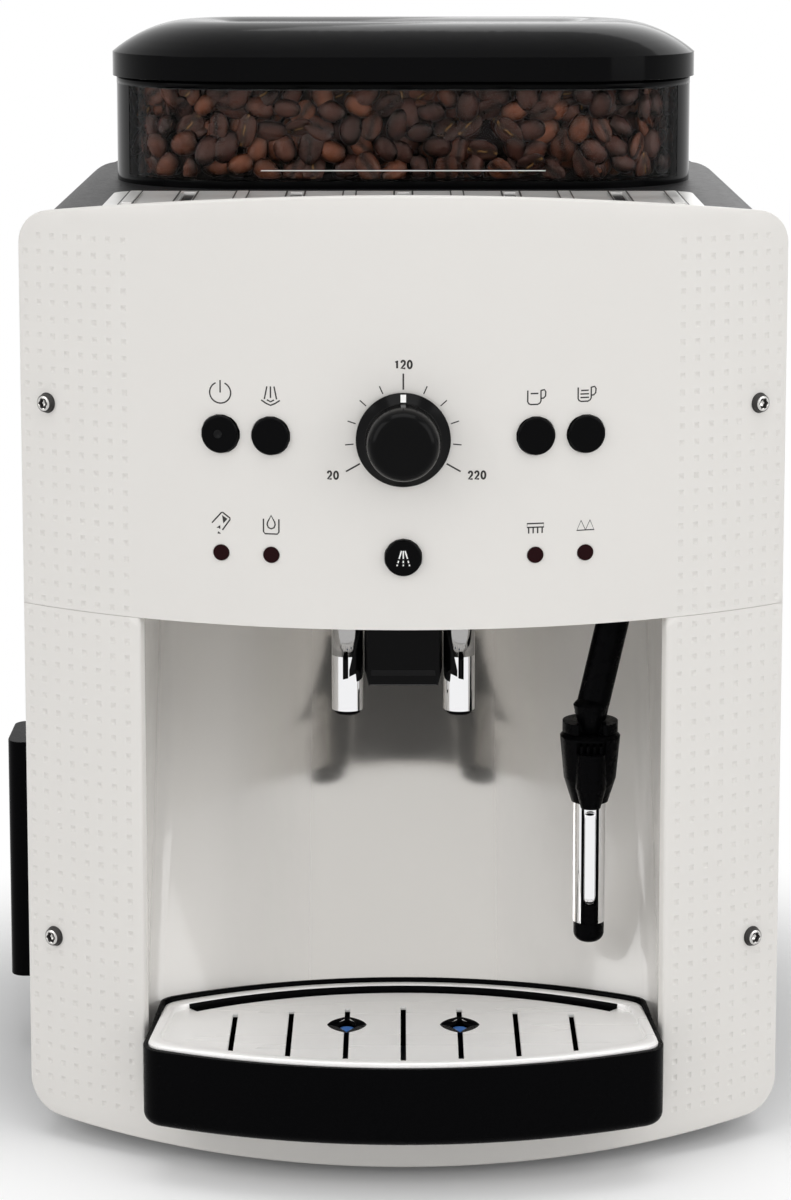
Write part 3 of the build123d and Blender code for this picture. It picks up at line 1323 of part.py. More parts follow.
# Spindle that drives the piston
with BuildPart() as brew_spindle:
    with BuildSketch(Plane.XY.offset(BREW_LOW + SEAM)):
        with Locations((SPINDLE_X, BREW_Y)):
            Circle(SPINDLE_RADIUS)
    extrude(amount=BREW_HEIGHT)
write(brew_spindle, "brew_spindle")

# Geared motor below the brew group
with BuildPart() as brew_motor:
    with BuildSketch(Plane.XY.offset(BREW_LOW)):
        with Locations((SPINDLE_X, BREW_Y)):
            Circle(BREW_MOTOR_RADIUS)
    extrude(amount=-BREW_MOTOR_HEIGHT)
write(brew_motor, "brew_motor")

# Thermoblock: cast block with fins and two pipe ends
with BuildPart() as thermoblock:
    heater_top = HEATER_LOW + HEATER_HEIGHT
    with BuildSketch(Plane.XY.offset(HEATER_LOW)):
        span(HEATER_X, HEATER_X + HEATER_WIDTH, HEATER_FRONT, HEATER_FRONT + HEATER_DEPTH)
    extrude(amount=HEATER_HEIGHT)
    chamfer(thermoblock.edges().filter_by(Axis.Z), HEATER_EDGE)
    fin_pitch = (HEATER_DEPTH - 2 * HEATER_EDGE - HEATER_FIN) / (HEATER_FINS - 1)
    with BuildSketch(Plane.XY.offset(HEATER_LOW)):
        with Locations((HEATER_X, HEATER_FRONT + HEATER_DEPTH / 2)):
            with GridLocations(fin_pitch, fin_pitch, 1, HEATER_FINS):
                Rectangle(2 * HEATER_FIN, HEATER_FIN)
    extrude(amount=HEATER_HEIGHT)
    with BuildSketch(Plane.XY.offset(heater_top)):
        with Locations(
            (HEATER_X + HEATER_WIDTH / 4, HEATER_FRONT + HEATER_DEPTH / 4),
            (HEATER_X + HEATER_WIDTH * 3 / 4, HEATER_FRONT + HEATER_DEPTH * 3 / 4),
        ):
            Circle(HEATER_PIPE)
    extrude(amount=HEATER_PIPE_LENGTH)
write(thermoblock, "thermoblock")

# Vibration pump: coil block between two round ends
pump_coil_back = PUMP_COIL_FRONT + PUMP_COIL_DEPTH
with BuildPart() as pump:
    with BuildSketch(Plane.XZ.offset(-pump_coil_back)):
        with Locations((PUMP_X, PUMP_Z)):
            Rectangle(PUMP_COIL, PUMP_COIL)
    extrude(amount=PUMP_COIL_DEPTH)
    with BuildSketch(Plane.XZ.offset(-pump_coil_back - PUMP_END_LENGTH)):
        with Locations((PUMP_X, PUMP_Z)):
            Circle(PUMP_END_RADIUS)
    extrude(amount=PUMP_COIL_DEPTH + 2 * PUMP_END_LENGTH)
    with BuildSketch(Plane.XZ.offset(-PUMP_COIL_FRONT + PUMP_END_LENGTH)):
        with Locations((PUMP_X, PUMP_Z)):
            Circle(PUMP_NOZZLE)
    extrude(amount=PUMP_NOZZLE_LENGTH)
write(pump, "pump")

# Rubber cradles that hold the pump on the base pan
with BuildPart() as pump_mounts:
    for middle in (PUMP_COIL_FRONT - PUMP_END_LENGTH / 2, pump_coil_back + PUMP_END_LENGTH / 2):
        with BuildSketch(Plane.XZ.offset(-middle - PUMP_MOUNT_DEPTH / 2)):
            span(
                PUMP_X - PUMP_MOUNT_WIDTH / 2, PUMP_X + PUMP_MOUNT_WIDTH / 2, BASE_TOP, PUMP_Z
            )
            with Locations((PUMP_X, PUMP_Z)):
                Circle(PUMP_END_RADIUS + SEAT_GAP, mode=Mode.SUBTRACT)
        extrude(amount=PUMP_MOUNT_DEPTH)
write(pump_mounts, "pump_mounts")

# Main board on the bulkhead with transformer, relays and capacitor
with BuildPart() as main_board:
    with BuildSketch(Plane.XZ.offset(-MAIN_BOARD_FRONT)):
        span(MAIN_BOARD_LEFT, MAIN_BOARD_RIGHT, MAIN_BOARD_LOW, MAIN_BOARD_HIGH)
    extrude(amount=-BOARD_WALL)
    with BuildSketch(Plane.XZ.offset(-MAIN_BOARD_FRONT)):
        with Locations((MAIN_BOARD_LEFT + TRANSFORMER_SIZE, MAIN_BOARD_LOW + TRANSFORMER_SIZE)):
            Rectangle(TRANSFORMER_SIZE, TRANSFORMER_SIZE)
    extrude(amount=TRANSFORMER_HEIGHT)
    with BuildSketch(Plane.XZ.offset(-MAIN_BOARD_FRONT)):
        relay_x = (MAIN_BOARD_LEFT + MAIN_BOARD_RIGHT) / 2
        with Locations((relay_x, MAIN_BOARD_HIGH - TRANSFORMER_SIZE / 2)):
            with GridLocations(RELAY_PITCH, RELAY_PITCH, RELAY_COUNT, 1):
                Rectangle(RELAY_WIDTH, RELAY_LENGTH)
    extrude(amount=RELAY_HEIGHT)
    with BuildSketch(Plane.XZ.offset(-MAIN_BOARD_FRONT)):
        with Locations((MAIN_BOARD_RIGHT - RELAY_PITCH, MAIN_BOARD_LOW + TRANSFORMER_SIZE)):
            Circle(CAPACITOR_RADIUS)
    extrude(amount=TRANSFORMER_HEIGHT)
write(main_board, "main_board")


def inward(x, depth_y):
    """Distance along the inward normal at x from the panel's face to the depth depth_y."""
    return (depth_y - plan_y(x, PANEL_RADIUS)) / cos(asin(x / PANEL_RADIUS))


STEM_END_Y = BOARD_FRONT - SWITCH_HEIGHT - BUTTON_TRAVEL - BUTTON_REST_GAP

# Control board on the fascia's posts with the dial's potentiometer and five switches
with BuildPart() as control_board:
    with BuildSketch(Plane.XZ.offset(-BOARD_FRONT)):
        span(-BOARD_WIDTH / 2, BOARD_WIDTH / 2, BOARD_LOW, BOARD_HIGH)
    extrude(amount=-BOARD_WALL)
    with BuildSketch(Plane.XZ.offset(-BOARD_FRONT)):
        with Locations((0, KNOB_Z)):
            Rectangle(POT_SIZE, POT_SIZE)
    extrude(amount=POT_DEPTH)
    with BuildSketch(Plane.XZ.offset(-BOARD_FRONT + POT_DEPTH)):
        with Locations((0, KNOB_Z)):
            Circle(KNOB_STEM + RUN_FIT)
    extrude(amount=-POT_BORE_DEPTH, mode=Mode.SUBTRACT)
    with BuildSketch(Plane.XZ.offset(-BOARD_FRONT)):
        for name, x, z, radius in BUTTONS:
            with Locations((x - x / PANEL_RADIUS * inward(x, STEM_END_Y), z)):
                Rectangle(SWITCH_SIZE, SWITCH_SIZE)
    extrude(amount=SWITCH_HEIGHT)
write(control_board, "control_board")

# Five push buttons: cap in the fascia, flange behind it, stem to the switch
for name, x, z, radius in BUTTONS:
    face = face_plane(x, z)
    with BuildPart() as button:
        with BuildSketch(face.offset(-PANEL_WALL - SEAM)):
            Circle(radius)
        extrude(amount=PANEL_WALL + SEAM + BUTTON_PROUD)
        fillet(
            button.edges().filter_by(lambda edge: face.to_local_coords(edge.center()).Z > 0),
            BUTTON_EDGE,
        )
        with BuildSketch(face.offset(-PANEL_WALL - SEAM)):
            Circle(radius + BUTTON_FLANGE)
        extrude(amount=-BUTTON_FLANGE_WALL)
        with BuildSketch(face.offset(-PANEL_WALL - SEAM)):
            Circle(BUTTON_STEM)
        extrude(amount=PANEL_WALL + SEAM - inward(x, STEM_END_Y))
    write(button, name)

# Four warning lenses with light pipes to the board
with BuildPart() as indicator_lenses:
    for x in LENS_XS:
        with BuildSketch(face_plane(x, LENS_Z).offset(LENS_PROUD)):
            Circle(LENS_RADIUS)
        extrude(amount=-LENS_PROUD - PANEL_WALL)
        with BuildSketch(face_plane(x, LENS_Z)):
            Circle(LENS_PIPE)
        extrude(amount=-inward(x, BOARD_FRONT - BUTTON_REST_GAP))
write(indicator_lenses, "indicator_lenses")

# Volume knob: skirt, raised cap and the stem in the potentiometer
knob_plane = Plane(origin=(0, PANEL_FRONT, KNOB_Z), x_dir=(1, 0, 0), z_dir=(0, 0, 1))
cone_base = KNOB_LIFT + KNOB_SKIRT_EDGE
with BuildPart() as volume_knob:
    stem_end = BOARD_FRONT - POT_DEPTH + POT_BORE_DEPTH - SEAM - PANEL_FRONT
    with BuildSketch(knob_plane) as profile:
        with BuildLine():
            Polyline(
                (0, -KNOB_HEIGHT),
                (KNOB_CAP_TOP, -KNOB_HEIGHT),
                (KNOB_CAP, -KNOB_SKIRT_HEIGHT),
                (KNOB_SKIRT, -cone_base),
                (KNOB_SKIRT, -KNOB_LIFT),
                (KNOB_STEM, -KNOB_LIFT),
                (KNOB_STEM, stem_end),
                (0, stem_end),
                close=True,
            )
        make_face()
        fillet(profile.vertices().sort_by(Axis.Y)[:2].sort_by(Axis.X)[-1], KNOB_EDGE)
    revolve(axis=Axis((0, 0, KNOB_Z), (0, 1, 0)))
    with BuildSketch(Plane.YZ.offset(-POINTER_WIDTH / 2)):
        add(pointer_profile(OVERRUN))
    extrude(amount=POINTER_WIDTH, mode=Mode.SUBTRACT)
write(volume_knob, "volume_knob")

# White pointer let into the skirt, above the cap
with BuildPart() as knob_pointer:
    with BuildSketch(Plane.YZ.offset(-POINTER_WIDTH / 2 + RUN_FIT)):
        add(pointer_profile(0))
    extrude(amount=POINTER_WIDTH - 2 * RUN_FIT)
write(knob_pointer, "knob_pointer")

# Guide of the spout: channel that stands on the niche's ceiling
ceiling_top = PANEL_SEAM_Z + NICHE_WALL
with BuildPart() as spout_guide:
    channel = RUNNER_HALF + 2 * SLIDE_GAP
    with BuildSketch(Plane.XY.offset(ceiling_top)):
        span(-channel - GUIDE_WALL, channel + GUIDE_WALL, GUIDE_FRONT, SPOUT_HOLE_BACK + GUIDE_WALL)
        span(-channel, channel, GUIDE_FRONT, SPOUT_HOLE_BACK, mode=Mode.SUBTRACT)
    extrude(amount=GUIDE_TOP - ceiling_top)
write(spout_guide, "spout_guide")

# Spout carriage: block with a drawn-in chin, bridge over the nozzles, runner in the guide
chin_top = SPOUT_LOW + SPOUT_CHIN_HEIGHT
with BuildPart() as spout_carriage:
    with BuildSketch(Plane.YZ.offset(-SPOUT_HALF)):
        with BuildLine():
            Polyline(
                (SPOUT_FRONT + SPOUT_CHIN_SETBACK, SPOUT_LOW),
                (SPOUT_BACK, SPOUT_LOW + SPOUT_NOSE),
                (SPOUT_BACK, SPOUT_TOP),
                (SPOUT_FRONT, SPOUT_TOP),
                (SPOUT_FRONT, chin_top),
                close=True,
            )
        make_face()
    extrude(amount=2 * SPOUT_HALF)
    with BuildSketch(Plane.XZ.offset(-SPOUT_BACK)):
        with BuildLine():
            Polyline(
                (-SPOUT_CHIN_HALF, SPOUT_LOW),
                (SPOUT_CHIN_HALF, SPOUT_LOW),
                (SPOUT_HALF, chin_top),
                (SPOUT_HALF, SPOUT_TOP),
                (-SPOUT_HALF, SPOUT_TOP),
                (-SPOUT_HALF, chin_top),
                close=True,
            )
        make_face()
    extrude(amount=SPOUT_BACK - SPOUT_FRONT, mode=Mode.INTERSECT)
    fillet(spout_carriage.edges().filter_by(Axis.Z).sort_by(Axis.Y)[:2], SPOUT_EDGE)
    chamfer(spout_carriage.faces().sort_by(Axis.Z)[0].edges(), SPOUT_RIM)
    with BuildSketch(Plane.XY.offset(SPOUT_TOP - BRIDGE_HEIGHT)):
        span(-NOZZLE_X - NOZZLE_RADIUS, NOZZLE_X + NOZZLE_RADIUS, SPOUT_FRONT, SPOUT_BACK)
    extrude(amount=BRIDGE_HEIGHT)
    with BuildSketch(Plane.XY.offset(SPOUT_TOP - RUNNER_HEIGHT)):
        span(-RUNNER_HALF, RUNNER_HALF, SPOUT_BACK - GUIDE_WALL, SPOUT_HOLE_BACK - SLIDE_GAP)
    extrude(amount=RUNNER_HEIGHT)
write(spout_carriage, "spout_carriage")

# Two chrome nozzles under the bridge
with BuildPart() as spout_nozzles:
    with BuildSketch(Plane.XY.offset(NOZZLE_LOW)):
        with Locations((-NOZZLE_X, NOZZLE_Y), (NOZZLE_X, NOZZLE_Y)):
            Circle(NOZZLE_RADIUS)
            Circle(NOZZLE_BORE, mode=Mode.SUBTRACT)
    extrude(amount=SPOUT_TOP - BRIDGE_HEIGHT - NOZZLE_LOW)
write(spout_nozzles, "spout_nozzles")

# Black outlets pushed into the nozzles
with BuildPart() as nozzle_tips:
    with BuildSketch(Plane.XY.offset(NOZZLE_LOW - TIP_DROP)):
        with Locations((-NOZZLE_X, NOZZLE_Y), (NOZZLE_X, NOZZLE_Y)):
            Circle(NOZZLE_BORE - SEAT_GAP)
    extrude(amount=TIP_HEIGHT)
    fillet(nozzle_tips.edges().group_by(Axis.Z)[0], TIP_EDGE)
    with BuildSketch(Plane.XY.offset(NOZZLE_LOW - TIP_DROP)):
        with Locations((-NOZZLE_X, NOZZLE_Y), (NOZZLE_X, NOZZLE_Y)):
            Circle(TIP_BORE)
    extrude(amount=TIP_HEIGHT, mode=Mode.SUBTRACT)
write(nozzle_tips, "nozzle_tips")

# Steam bracket on the niche's ceiling: plate, two ears and the pin of the wand
slot_left, slot_right = ARM_SLOT_X - ARM_SLOT_HALF, ARM_SLOT_X + ARM_SLOT_HALF
ear_inner = BARREL_LENGTH / 2 + 2 * SLIDE_GAP
with BuildPart() as steam_bracket:
    with BuildSketch(Plane.XY.offset(ceiling_top)):
        span(
            PIVOT_X - ear_inner - EAR_WALL,
            PIVOT_X + ear_inner + EAR_WALL,
            ARM_SLOT_FRONT - BRACKET_WALL,
            ARM_SLOT_BACK + BRACKET_MARGIN,
        )
        span(slot_left, slot_right, ARM_SLOT_FRONT, ARM_SLOT_BACK, mode=Mode.SUBTRACT)
    extrude(amount=BRACKET_WALL)
    for low in (PIVOT_X - ear_inner - EAR_WALL, PIVOT_X + ear_inner):
        with BuildSketch(Plane.YZ.offset(low)):
            span(PIVOT_Y - EAR_HALF, PIVOT_Y + EAR_HALF, ceiling_top, EAR_TOP)
        extrude(amount=EAR_WALL)
    with BuildSketch(Plane.YZ.offset(PIVOT_X - ear_inner)):
        with Locations((PIVOT_Y, PIVOT_Z)):
            Circle(PIN_RADIUS)
    extrude(amount=2 * ear_inner)
write(steam_bracket, "steam_bracket")

# Steam arm: barrel on the pin, slanted arm, elbow, drip shield and the spigot of the nozzle
elbow_plane = Plane(
    origin=(WAND_X, PIVOT_Y - ELBOW_SHIFT, 0), x_dir=(1, 0, 0), z_dir=(0, -1, 0)
)
dome_share = sqrt(2) / 2
with BuildPart() as steam_arm:
    with BuildSketch(
        Plane(origin=(PIVOT_X, PIVOT_Y, PIVOT_Z), z_dir=(WAND_X - PIVOT_X, 0, ARM_LOW - PIVOT_Z))
    ):
        Circle(ARM_RADIUS)
    extrude(amount=sqrt((PIVOT_X - WAND_X) ** 2 + (PIVOT_Z - ARM_LOW) ** 2))
    with BuildSketch(elbow_plane):
        with BuildLine():
            Polyline(
                (0, COLLAR_TOP),
                (ELBOW_LOW_RADIUS, COLLAR_TOP),
                (ELBOW_TOP_RADIUS, ELBOW_TOP - ELBOW_DOME),
            )
            ThreePointArc(
                (ELBOW_TOP_RADIUS, ELBOW_TOP - ELBOW_DOME),
                (ELBOW_TOP_RADIUS * dome_share, ELBOW_TOP - ELBOW_DOME * (1 - dome_share)),
                (0, ELBOW_TOP),
            )
            Line((0, ELBOW_TOP), (0, COLLAR_TOP))
        make_face()
    revolve(axis=Axis((WAND_X, PIVOT_Y - ELBOW_SHIFT, 0), (0, 0, 1)))
    with BuildSketch(Plane.YZ.offset(PIVOT_X - BARREL_LENGTH / 2)):
        with Locations((PIVOT_Y, PIVOT_Z)):
            Circle(BARREL_RADIUS)
    extrude(amount=BARREL_LENGTH)
    with BuildSketch(Plane.YZ.offset(PIVOT_X - BARREL_LENGTH / 2)):
        with Locations((PIVOT_Y, PIVOT_Z)):
            Circle(PIN_RADIUS + RUN_FIT)
    extrude(amount=BARREL_LENGTH, mode=Mode.SUBTRACT)
    with BuildSketch(Plane.XY.offset(COLLAR_TOP)) as shield:
        with Locations((WAND_X, PIVOT_Y)):
            Circle(SHIELD_RADIUS)
        with Locations((WAND_X, PIVOT_Y - SHIELD_RADIUS)):
            Rectangle(SHIELD_NOTCH, 2 * SHIELD_NOTCH_REACH, mode=Mode.SUBTRACT)
        fillet(shield.vertices().sort_by(Axis.Y)[:2], SHIELD_EDGE)
    extrude(amount=SHIELD_WALL)
    with BuildSketch(Plane.XY.offset(COLLAR_TOP)):
        with Locations((WAND_X, PIVOT_Y)):
            Circle(SPIGOT_RADIUS)
    extrude(amount=-SPIGOT_LENGTH)
write(steam_arm, "steam_arm")

# Collar of the steam nozzle: tapered sleeve with a ribbed air intake at the front
wand_axis = Axis((WAND_X, PIVOT_Y, 0), (0, 0, 1))
wand_plane = Plane(origin=(WAND_X, PIVOT_Y, 0), x_dir=(1, 0, 0), z_dir=(0, -1, 0))
tube_top = COLLAR_TOP - SPIGOT_LENGTH - SEAM
intake_front = PIVOT_Y - INTAKE_REACH - INTAKE_RADIUS
pocket_back = PIVOT_Y - COLLAR_RADIUS + POCKET_DEPTH
with BuildPart() as steam_collar:
    with BuildSketch(wand_plane):
        with BuildLine():
            Polyline(
                (SPIGOT_RADIUS + RUN_FIT, COLLAR_TOP - SEAM),
                (COLLAR_RADIUS - COLLAR_EDGE, COLLAR_TOP - SEAM),
                (COLLAR_RADIUS, COLLAR_TOP - SEAM - COLLAR_EDGE),
                (COLLAR_STEP_RADIUS, COLLAR_STEP_Z),
                (COLLAR_LOW_RADIUS, COLLAR_LOW),
                (TUBE_RADIUS + SEAT_GAP, COLLAR_LOW),
                (TUBE_RADIUS + SEAT_GAP, tube_top),
                (SPIGOT_RADIUS + RUN_FIT, tube_top),
                close=True,
            )
        make_face()
    revolve(axis=wand_axis)
    for level, length, lean in (
        (INTAKE_STEP_Z, INTAKE_TOP - INTAKE_STEP_Z, 0),
        (INTAKE_STEP_Z, INTAKE_LOW - INTAKE_STEP_Z, INTAKE_TAPER),
    ):
        with BuildSketch(Plane.XY.offset(level)):
            with Locations((WAND_X, PIVOT_Y - INTAKE_REACH)):
                Circle(INTAKE_RADIUS)
        extrude(amount=length, taper=lean)
    for radius, low, high in (
        (TUBE_RADIUS + SEAT_GAP, INTAKE_LOW, tube_top),
        (SPIGOT_RADIUS + RUN_FIT, tube_top, COLLAR_TOP),
    ):
        with BuildSketch(Plane.XY.offset(low)):
            with Locations((WAND_X, PIVOT_Y)):
                Circle(radius)
        extrude(amount=high - low, mode=Mode.SUBTRACT)
    with BuildSketch(Plane.XY.offset(INTAKE_TOP)):
        span(
            WAND_X - POCKET_WIDTH / 2, WAND_X + POCKET_WIDTH / 2, intake_front, pocket_back
        )
    extrude(amount=POCKET_TOP - INTAKE_TOP, mode=Mode.SUBTRACT)
    with BuildSketch(Plane.XY.offset(INTAKE_TOP)):
        with Locations((WAND_X, pocket_back - POCKET_FIN_DEPTH / 2)):
            with GridLocations(POCKET_FIN_PITCH, POCKET_FIN_PITCH, POCKET_FINS, 1):
                Rectangle(POCKET_FIN_WIDTH, POCKET_FIN_DEPTH)
    extrude(amount=POCKET_FIN_HEIGHT)
write(steam_collar, "steam_collar")

# Chrome tube of the nozzle with a long slot at the front
with BuildPart() as steam_tube:
    with BuildSketch(Plane.XY.offset(TUBE_LOW)):
        with Locations((WAND_X, PIVOT_Y)):
            Circle(TUBE_RADIUS)
            Circle(TUBE_RADIUS - TUBE_WALL, mode=Mode.SUBTRACT)
    extrude(amount=tube_top - TUBE_LOW)
    with BuildSketch(Plane.XZ.offset(-PIVOT_Y)):
        with Locations((WAND_X, (TUBE_SLOT_LOW + TUBE_SLOT_TOP) / 2)):
            SlotOverall(TUBE_SLOT_TOP - TUBE_SLOT_LOW, TUBE_SLOT_WIDTH, rotation=90)
    extrude(amount=2 * TUBE_RADIUS, mode=Mode.SUBTRACT)
write(steam_tube, "steam_tube")

# Black core of the tube with the rounded tip and its bore
with BuildPart() as steam_tip:
    with BuildSketch(wand_plane) as profile:
        with BuildLine():
            Polyline(
                (WAND_BORE, WAND_TIP),
                (WAND_TIP_RADIUS, WAND_TIP),
                (WAND_TIP_RADIUS, TUBE_LOW - SEAT_GAP),
                (CORE_RADIUS, TUBE_LOW - SEAT_GAP),
                (CORE_RADIUS, tube_top),
                (WAND_BORE, tube_top),
                close=True,
            )
        make_face()
        fillet(profile.vertices().sort_by(Axis.Y)[:2].sort_by(Axis.X)[-1], WAND_TIP_EDGE)
    revolve(axis=wand_axis)
write(steam_tip, "steam_tip")

# Drip tray: deep pan with a ledge for the grid
with BuildPart() as drip_tray:
    with BuildSketch(Plane.XY.offset(TRAY_LOW)):
        add(tray_outline(0))
    extrude(amount=TRAY_TOP - TRAY_LOW)
    fillet(drip_tray.faces().sort_by(Axis.Z)[0].edges(), TRAY_EDGE)
    with BuildSketch(Plane.XY.offset(TRAY_LOW + TRAY_FLOOR)):
        add(tray_outline(TRAY_WALL))
    extrude(amount=TRAY_TOP - TRAY_LOW, mode=Mode.SUBTRACT)
    with BuildSketch(Plane.XY.offset(TRAY_TOP)):
        add(tray_outline(GRID_INSET - SEAM))
    extrude(amount=-GRID_DEPTH, mode=Mode.SUBTRACT)
write(drip_tray, "drip_tray")

# Drip grid: plate with a raised rim, seven slots and two openings for the float
grid_low = TRAY_TOP - GRID_DEPTH
with BuildPart() as drip_grid:
    with BuildSketch(Plane.XY.offset(grid_low)):
        add(tray_outline(GRID_INSET))
    extrude(amount=GRID_WALL)
    with BuildSketch(Plane.XY.offset(grid_low)):
        add(tray_outline(GRID_INSET))
        add(tray_outline(GRID_INSET + GRID_RIM_WIDTH), mode=Mode.SUBTRACT)
    extrude(amount=GRID_RIM_HEIGHT)
    with BuildSketch(Plane.XY.offset(grid_low)):
        for slot in range(SLOT_COUNT):
            place = slot - SLOT_COUNT // 2
            with Locations((place * SLOT_PITCH, SLOT_MID_Y)):
                Rectangle(SLOT_WIDTH, SLOT_LENGTHS[-1 - abs(place)])
        for side in (-1, 1):
            with BuildLine():
                middle = side * SLOT_PITCH
                tips = [
                    (middle + STAR_HALF_WIDTH, STAR_Y),
                    (middle, STAR_Y + STAR_HALF_LENGTH),
                    (middle - STAR_HALF_WIDTH, STAR_Y),
                    (middle, STAR_Y - STAR_HALF_LENGTH),
                ]
                waists = [
                    (middle + a * STAR_WAIST, STAR_Y + b * STAR_WAIST)
                    for a, b in ((1, 1), (-1, 1), (-1, -1), (1, -1))
                ]
                for corner in range(4):
                    ThreePointArc(tips[corner], waists[corner], tips[(corner + 1) % 4])
            make_face()
    extrude(amount=GRID_WALL, mode=Mode.SUBTRACT)
write(drip_grid, "drip_grid")

# Float of the drip tray: one block with two stems that show in the grid
float_low = TRAY_LOW + TRAY_FLOOR + SLIDE_GAP
float_top = grid_low - SEAM - FLOAT_TRAVEL
with BuildPart() as tray_float:
    with BuildSketch(Plane.XY.offset(float_low)):
        with Locations((0, STAR_Y)):
            RectangleRounded(FLOAT_LENGTH, FLOAT_WIDTH, FLOAT_WIDTH / 3)
    extrude(amount=float_top - float_low)
    with BuildSketch(Plane.XY.offset(float_top)):
        with Locations((-SLOT_PITCH, STAR_Y), (SLOT_PITCH, STAR_Y)):
            Circle(FLOAT_STEM)
    extrude(amount=FLOAT_TRAVEL)
write(tray_float, "tray_float")

# Grounds drawer: bin with a front that closes the left side wall
drawer_low = BASE_TOP + SLIDE_GAP
drawer_face = -BODY_WIDTH / 2
with BuildPart() as grounds_drawer:
    half = DRAWER_HALF - 2 * SLIDE_GAP
    with BuildSketch(Plane.YZ.offset(drawer_face)):
        span(-DRAWER_HALF + SLIDE_GAP, DRAWER_HALF - SLIDE_GAP, drawer_low, DRAWER_TOP - SLIDE_GAP)
    extrude(amount=DRAWER_FRONT_WALL)
    with BuildSketch(Plane.XY.offset(drawer_low)):
        span(drawer_face + DRAWER_FRONT_WALL, DRAWER_END, -half, half)
    extrude(amount=DRAWER_BIN_TOP - drawer_low)
    fillet(
        grounds_drawer.edges().filter_by(Axis.Z).sort_by(Axis.X)[-2:], DRAWER_CORNER
    )
    with BuildSketch(Plane.XY.offset(drawer_low + DRAWER_WALL)) as room:
        span(
            drawer_face + DRAWER_FRONT_WALL + DRAWER_WALL,
            DRAWER_END - DRAWER_WALL,
            -half + DRAWER_WALL,
            half - DRAWER_WALL,
        )
        fillet(room.vertices(), DRAWER_CORNER - DRAWER_WALL)
    extrude(amount=DRAWER_TOP, mode=Mode.SUBTRACT)
write(grounds_drawer, "grounds_drawer")

# Drawer handle: upright grip, hollow towards the back for the fingers
with BuildPart() as drawer_handle:
    with BuildSketch(Plane.XY.offset(HANDLE_LOW)) as grip:
        span(drawer_face - HANDLE_REACH, drawer_face, HANDLE_FRONT, HANDLE_BACK)
        fillet(grip.vertices().group_by(Axis.X)[0], HANDLE_EDGE)
    extrude(amount=HANDLE_TOP - HANDLE_LOW)
    with BuildSketch(Plane.XY.offset(HANDLE_LOW + HANDLE_WALL)):
        span(
            drawer_face - HANDLE_REACH + HANDLE_WALL,
            drawer_face - HANDLE_WALL,
            HANDLE_FRONT + HANDLE_WALL,
            HANDLE_BACK,
        )
    extrude(amount=HANDLE_TOP - HANDLE_LOW - 2 * HANDLE_WALL, mode=Mode.SUBTRACT)
write(drawer_handle, "drawer_handle")

# Water tank: drafted box with two hinge ears at the back
tank_low = WELL_FLOOR + TANK_SEAT_GAP
tank_width = 2 * (WELL_HALF - TANK_GAP)
tank_depth = WELL_BACK - WELL_FRONT - 2 * TANK_GAP
tank_y = (WELL_FRONT + WELL_BACK) / 2
tank_back = WELL_BACK - TANK_GAP
hinge_y = tank_back - HINGE_INSET
hinge_z = REAR_TOP - HINGE_DROP
with BuildPart() as water_tank:
    for inset, low in ((0, tank_low), (TANK_WALL, tank_low + TANK_WALL)):
        for level, draft in ((low, TANK_DRAFT), (TANK_TOP, 0)):
            with BuildSketch(Plane.XY.offset(level)):
                with Locations((0, tank_y)):
                    RectangleRounded(
                        tank_width - 2 * (inset + draft),
                        tank_depth - 2 * (inset + draft),
                        WELL_CORNER - inset - draft,
                    )
        loft(mode=Mode.SUBTRACT if inset else Mode.ADD)
    for x in (-HINGE_X, HINGE_X):
        with BuildSketch(Plane.YZ.offset(x - HINGE_EAR_WALL / 2)):
            span(hinge_y - HINGE_EAR, tank_back, TANK_TOP - 2 * HINGE_EAR, hinge_z)
            with Locations((hinge_y, hinge_z)):
                Circle(HINGE_EAR)
        extrude(amount=HINGE_EAR_WALL)
        with BuildSketch(Plane.YZ.offset(x - HINGE_EAR_WALL / 2)):
            with Locations((hinge_y, hinge_z)):
                Circle(HINGE_PIN + RUN_FIT)
        extrude(amount=HINGE_EAR_WALL, mode=Mode.SUBTRACT)
    with BuildSketch(Plane.XY.offset(tank_low)):
        with Locations((VALVE_X, VALVE_Y)):
            Circle(VALVE_RADIUS + SEAT_GAP)
    extrude(amount=TANK_WALL, mode=Mode.SUBTRACT)
write(water_tank, "water_tank")

# Valve in the tank's floor, which reaches into the well's port
with BuildPart() as tank_valve:
    with BuildSketch(Plane.XY.offset(tank_low + TANK_WALL)):
        with Locations((VALVE_X, VALVE_Y)):
            Circle(VALVE_FLANGE)
    extrude(amount=VALVE_FLANGE_WALL)
    with BuildSketch(Plane.XY.offset(tank_low + TANK_WALL)):
        with Locations((VALVE_X, VALVE_Y)):
            Circle(VALVE_RADIUS)
    extrude(amount=-VALVE_DROP)
write(tank_valve, "tank_valve")

